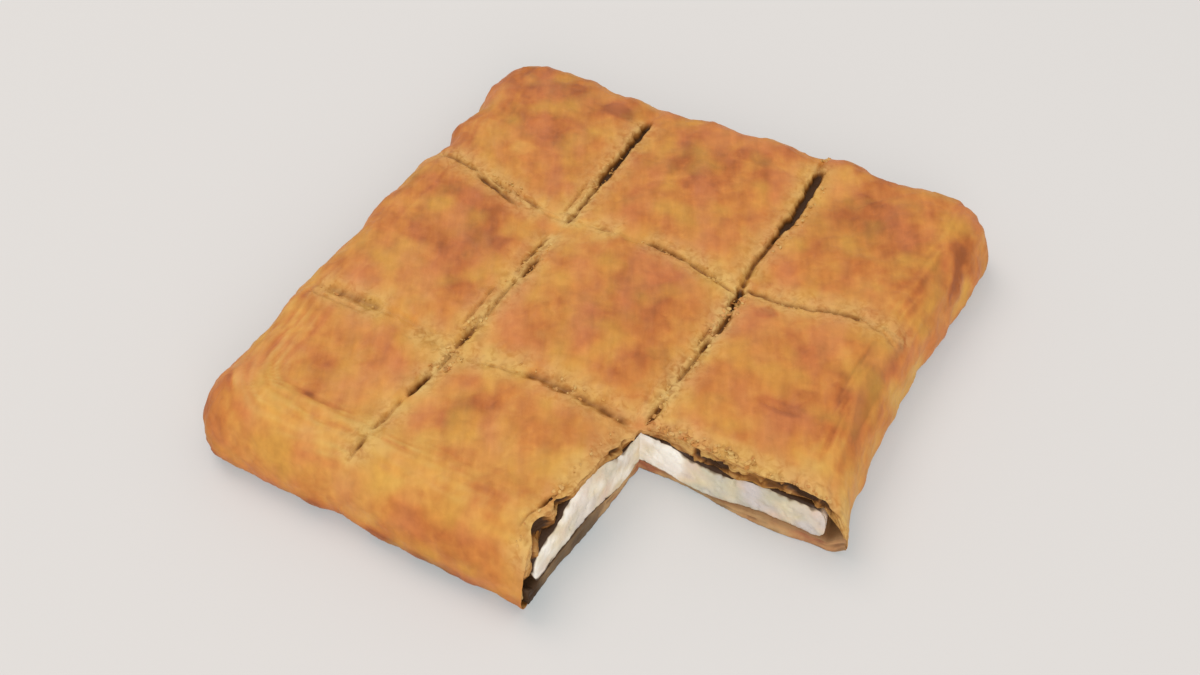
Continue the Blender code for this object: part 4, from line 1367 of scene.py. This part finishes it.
def base_look():
    """Browned pastry, duller than the lid, with dark and greyish olive places."""
    look = Look("base_crust_baked")
    level = look.total((look.attribute("browning"), 0.8), (look.noise(6, rough=0.6, shift=4.0), 0.8))
    level = look.math("SUBTRACT", level, BASE_LEVEL)
    colour = look.ramp(level, ((0.0, BASE_PALE), (0.5, BASE_TAN), (1.0, BASE_RED)))
    colour = look.lay(BASE_OLIVE, colour, look.attribute("torn"), 0.0, 1.0, 0.85)
    # Dark spots and seams, and painted shade at the front end and under the cheese
    colour = look.lay(BASE_DARK, colour, look.attribute("gloom"), 0.05, 0.9)
    look.set(Base_Color=colour, Roughness=0.62, Specular_IOR_Level=0.25)
    look.bump(look.noise(2.4, shift=10.0), distance=0.6, strength=0.6)
    return look.material


# ---- Loose flakes and crumbs ----

FLAKE_SEED = 11
FLAKE_SIDES = 7
FLAKE_THICK = (0.25, 0.5)
FLAKE_STRETCH = (0.45, 0.9)
FLAKE_CURL = (-0.25, 0.45)
FLAKE_CURL_RADIUS = 0.5
FLAKE_JITTER = 0.3
FLAKE_REACH = (0.7, 1.15)
FLAKE_UNDERSIDE = 0.9
FLAKE_RISE = 0.1
FLAKE_TILT = 0.3
FLAKE_LIFT = (-0.05, 0.3)
FLAKE_BROWN = (0.0, 0.6)
FLAKE_TORN = (0.3, 1.0)
FLAKE_SHARP = 35
FLAKE_CLEAR = 0.5
# (x, y, half length, half width, how many, radius from, radius to), by place
FLAKE_PATCHES = (
    (186, 76, 18, 2.2, 60, 0.6, 2.0), (222, 75, 14, 1.2, 18, 0.5, 1.2), (168, 76, 6, 2.0, 14, 0.6, 1.6),
    (82, 68, 5, 6, 22, 0.5, 1.4), (80, 84, 3, 10, 26, 0.4, 1.2), (80, 128, 4, 14, 26, 0.4, 1.2),
    (46, 159, 8, 2.5, 22, 0.4, 1.3), (161, 146, 3.5, 7, 26, 0.5, 1.6), (160, 122, 3, 14, 24, 0.4, 1.2),
    (161, 86, 3, 9, 18, 0.4, 1.2), (165, 205, 2.0, 24, 22, 0.4, 1.2), (80, 190, 2.5, 24, 28, 0.4, 1.1),
    (130, 74, 24, 2.5, 20, 0.4, 1.1), (135, 156, 26, 2.5, 20, 0.4, 1.1), (30, 75, 14, 2, 8, 0.4, 1.0),
    (196, 156, 22, 2, 10, 0.4, 1.0), (156, 40, 1.6, 34, 22, 0.5, 1.3), (161, 246, 1.5, 3, 7, 0.6, 1.6),
    (161, 251, 1.2, 1.5, 4, 1.0, 1.8),
)


def on_crust(x, y):
    """The crust's surface at a point of the even plan, in millimetres."""
    column, row = np.array([float(x)]), np.array([float(y)])
    return lid_skin(column, row, False)[0][0]


def flake(chance, radius):
    """A thin curled chip round the origin, as corners and faces."""
    thick = chance.uniform(*FLAKE_THICK)
    stretch = chance.uniform(*FLAKE_STRETCH)
    curl = chance.uniform(*FLAKE_CURL) / max(radius, FLAKE_CURL_RADIUS)
    rim = []
    for k in range(FLAKE_SIDES):
        angle = math.tau * (k + chance.uniform(-FLAKE_JITTER, FLAKE_JITTER)) / FLAKE_SIDES
        reach = radius * chance.uniform(*FLAKE_REACH)
        x = reach * math.cos(angle)
        y = reach * stretch * math.sin(angle)
        rim.append((x, y, curl * x * x))
    corners = [(x, y, z + thick / 2) for x, y, z in rim]
    corners += [(x * FLAKE_UNDERSIDE, y * FLAKE_UNDERSIDE, z - thick / 2) for x, y, z in rim]
    corners += [(0, 0, thick / 2 + FLAKE_RISE), (0, 0, -thick / 2)]
    faces = []
    for k in range(FLAKE_SIDES):
        after = (k + 1) % FLAKE_SIDES
        faces.append((k, after, 2 * FLAKE_SIDES))
        faces.append((FLAKE_SIDES + after, FLAKE_SIDES + k, 2 * FLAKE_SIDES + 1))
        faces.append((k, FLAKE_SIDES + k, FLAKE_SIDES + after, after))
    return corners, faces


def build_flakes(look):
    chance = random.Random(FLAKE_SEED)
    corners = []
    faces = []
    tinted = []
    for middle_x, middle_y, reach_x, reach_y, count, small, large in FLAKE_PATCHES:
        for _ in range(count):
            x = middle_x + chance.uniform(-reach_x, reach_x)
            y = middle_y + chance.uniform(-reach_y, reach_y)
            if x > SCORE_B_X:
                y = max(y, SCORE_D_Y + FLAKE_CLEAR)
            radius = mix(small, large, chance.random() ** 2)
            own_corners, own_faces = flake(chance, radius)
            turn = Matrix.Rotation(chance.uniform(0, math.tau), 3, "Z")
            tilt = Matrix.Rotation(chance.gauss(0, FLAKE_TILT), 3, "X")
            tilt = tilt @ Matrix.Rotation(chance.gauss(0, FLAKE_TILT), 3, "Y")
            spot = Vector(on_crust(x, y)) + Vector((0, 0, chance.uniform(*FLAKE_LIFT)))
            first = len(corners)
            corners += [spot + turn @ tilt @ Vector(corner) for corner in own_corners]
            faces += [[first + k for k in own] for own in own_faces]
            own_tints = (chance.uniform(*FLAKE_BROWN), 0.0, chance.uniform(*FLAKE_TORN))
            tinted += [own_tints] * len(own_corners)
    points = np.array([tuple(c) for c in corners])
    piece = put("crust_flakes", points, faces, np.array(tinted), look)
    piece.data.set_sharp_from_angle(angle=math.radians(FLAKE_SHARP))
    return piece


# ---- The pieces ----

def build_top_crust(look):
    columns = lid_positions(WIDTH, SCORE_A_X, SCORE_B_X)
    rows = lid_positions(DEPTH, SCORE_D_Y, SCORE_C_Y)
    piece = Piece("top_crust_baked", columns, rows, lid_skin, lid_face, LID_FACE_ROWS, False)
    return piece.made(look, "top_crust", "top_crust")


def build_slab(name, inset, skin, face, face_rows, look, slot):
    columns = slab_positions(WIDTH, inset, SCORE_B_X, SCORE_B_X, WIDTH)
    rows = slab_positions(DEPTH, inset, SCORE_D_Y, 0.0, SCORE_D_Y)
    piece = Piece(name, columns, rows, skin, face, face_rows, True)
    return piece.made(look, slot, slot)


# ---- Stage, light and camera ----

FLOOR_SIZE = 8.0
FLOOR_DROP = 0.0002
FLOOR_COLOUR = srgb(201, 183, 173)
FLOOR_GLOW = srgb(95, 125, 134)
WORLD_STRENGTH = 0.7
KEY = {"at": (-1.8, 0.7, 3.0), "size": 2.2, "power": 37.0}
FILL = {"at": (1.8, -2.6, 1.8), "size": 2.8, "power": 56.0}


def build_floor():
    mesh = bpy.data.meshes.new("floor")
    half = FLOOR_SIZE / 2
    corners = [(half * a, half * b, -FLOOR_DROP) for a, b in ((-1, -1), (1, -1), (1, 1), (-1, 1))]
    mesh.from_pydata(corners, [], [(0, 1, 2, 3)])
    look = Look("floor")
    look.set(Base_Color=FLOOR_COLOUR, Roughness=0.9, Specular_IOR_Level=0.0)
    look.set(Emission_Color=FLOOR_GLOW, Emission_Strength=1.0)
    mesh.materials.append(look.material)
    floor = add_object("floor", mesh)


def build_light(name, at, size, power):
    light = bpy.data.lights.new(name, "AREA")
    light.shape = "DISK"
    light.size = size
    light.energy = power
    lamp = add_object(name, light)
    lamp.location = at
    lamp.rotation_euler = Vector(at).to_track_quat("Z", "Y").to_euler()


def build_world():
    world = bpy.data.worlds.new("soft_room")
    world.use_nodes = True
    background = world.node_tree.nodes["Background"]
    background.inputs["Color"].default_value = (1.0, 1.0, 1.0, 1.0)
    background.inputs["Strength"].default_value = WORLD_STRENGTH
    bpy.context.scene.world = world
    bpy.context.scene.view_settings.view_transform = "Standard"


def build_camera():
    lens = bpy.data.cameras.new("camera")
    lens.lens = CAMERA_LENS
    lens.sensor_width = CAMERA_SENSOR
    camera = add_object("camera", lens)
    camera.location = CAMERA_AT
    camera.rotation_euler = (math.radians(90 - CAMERA_ELEVATION), 0, math.radians(CAMERA_AZIMUTH))
    bpy.context.scene.camera = camera


crust = crust_look()
build_top_crust(crust)
curd = filling_look()
build_slab(
    "cheese_filling_curd", FILLING_INSET, filling_skin, crumbly_face, SLAB_FACE_ROWS, curd, "cheese_filling",
)
base = base_look()
build_slab("base_crust_baked", BASE_INSET, base_skin, base_face, BASE_FACE_ROWS, base, "base_crust")
build_flakes(crust)
build_floor()
build_light("key", **KEY)
build_light("fill", **FILL)
build_world()
build_camera()
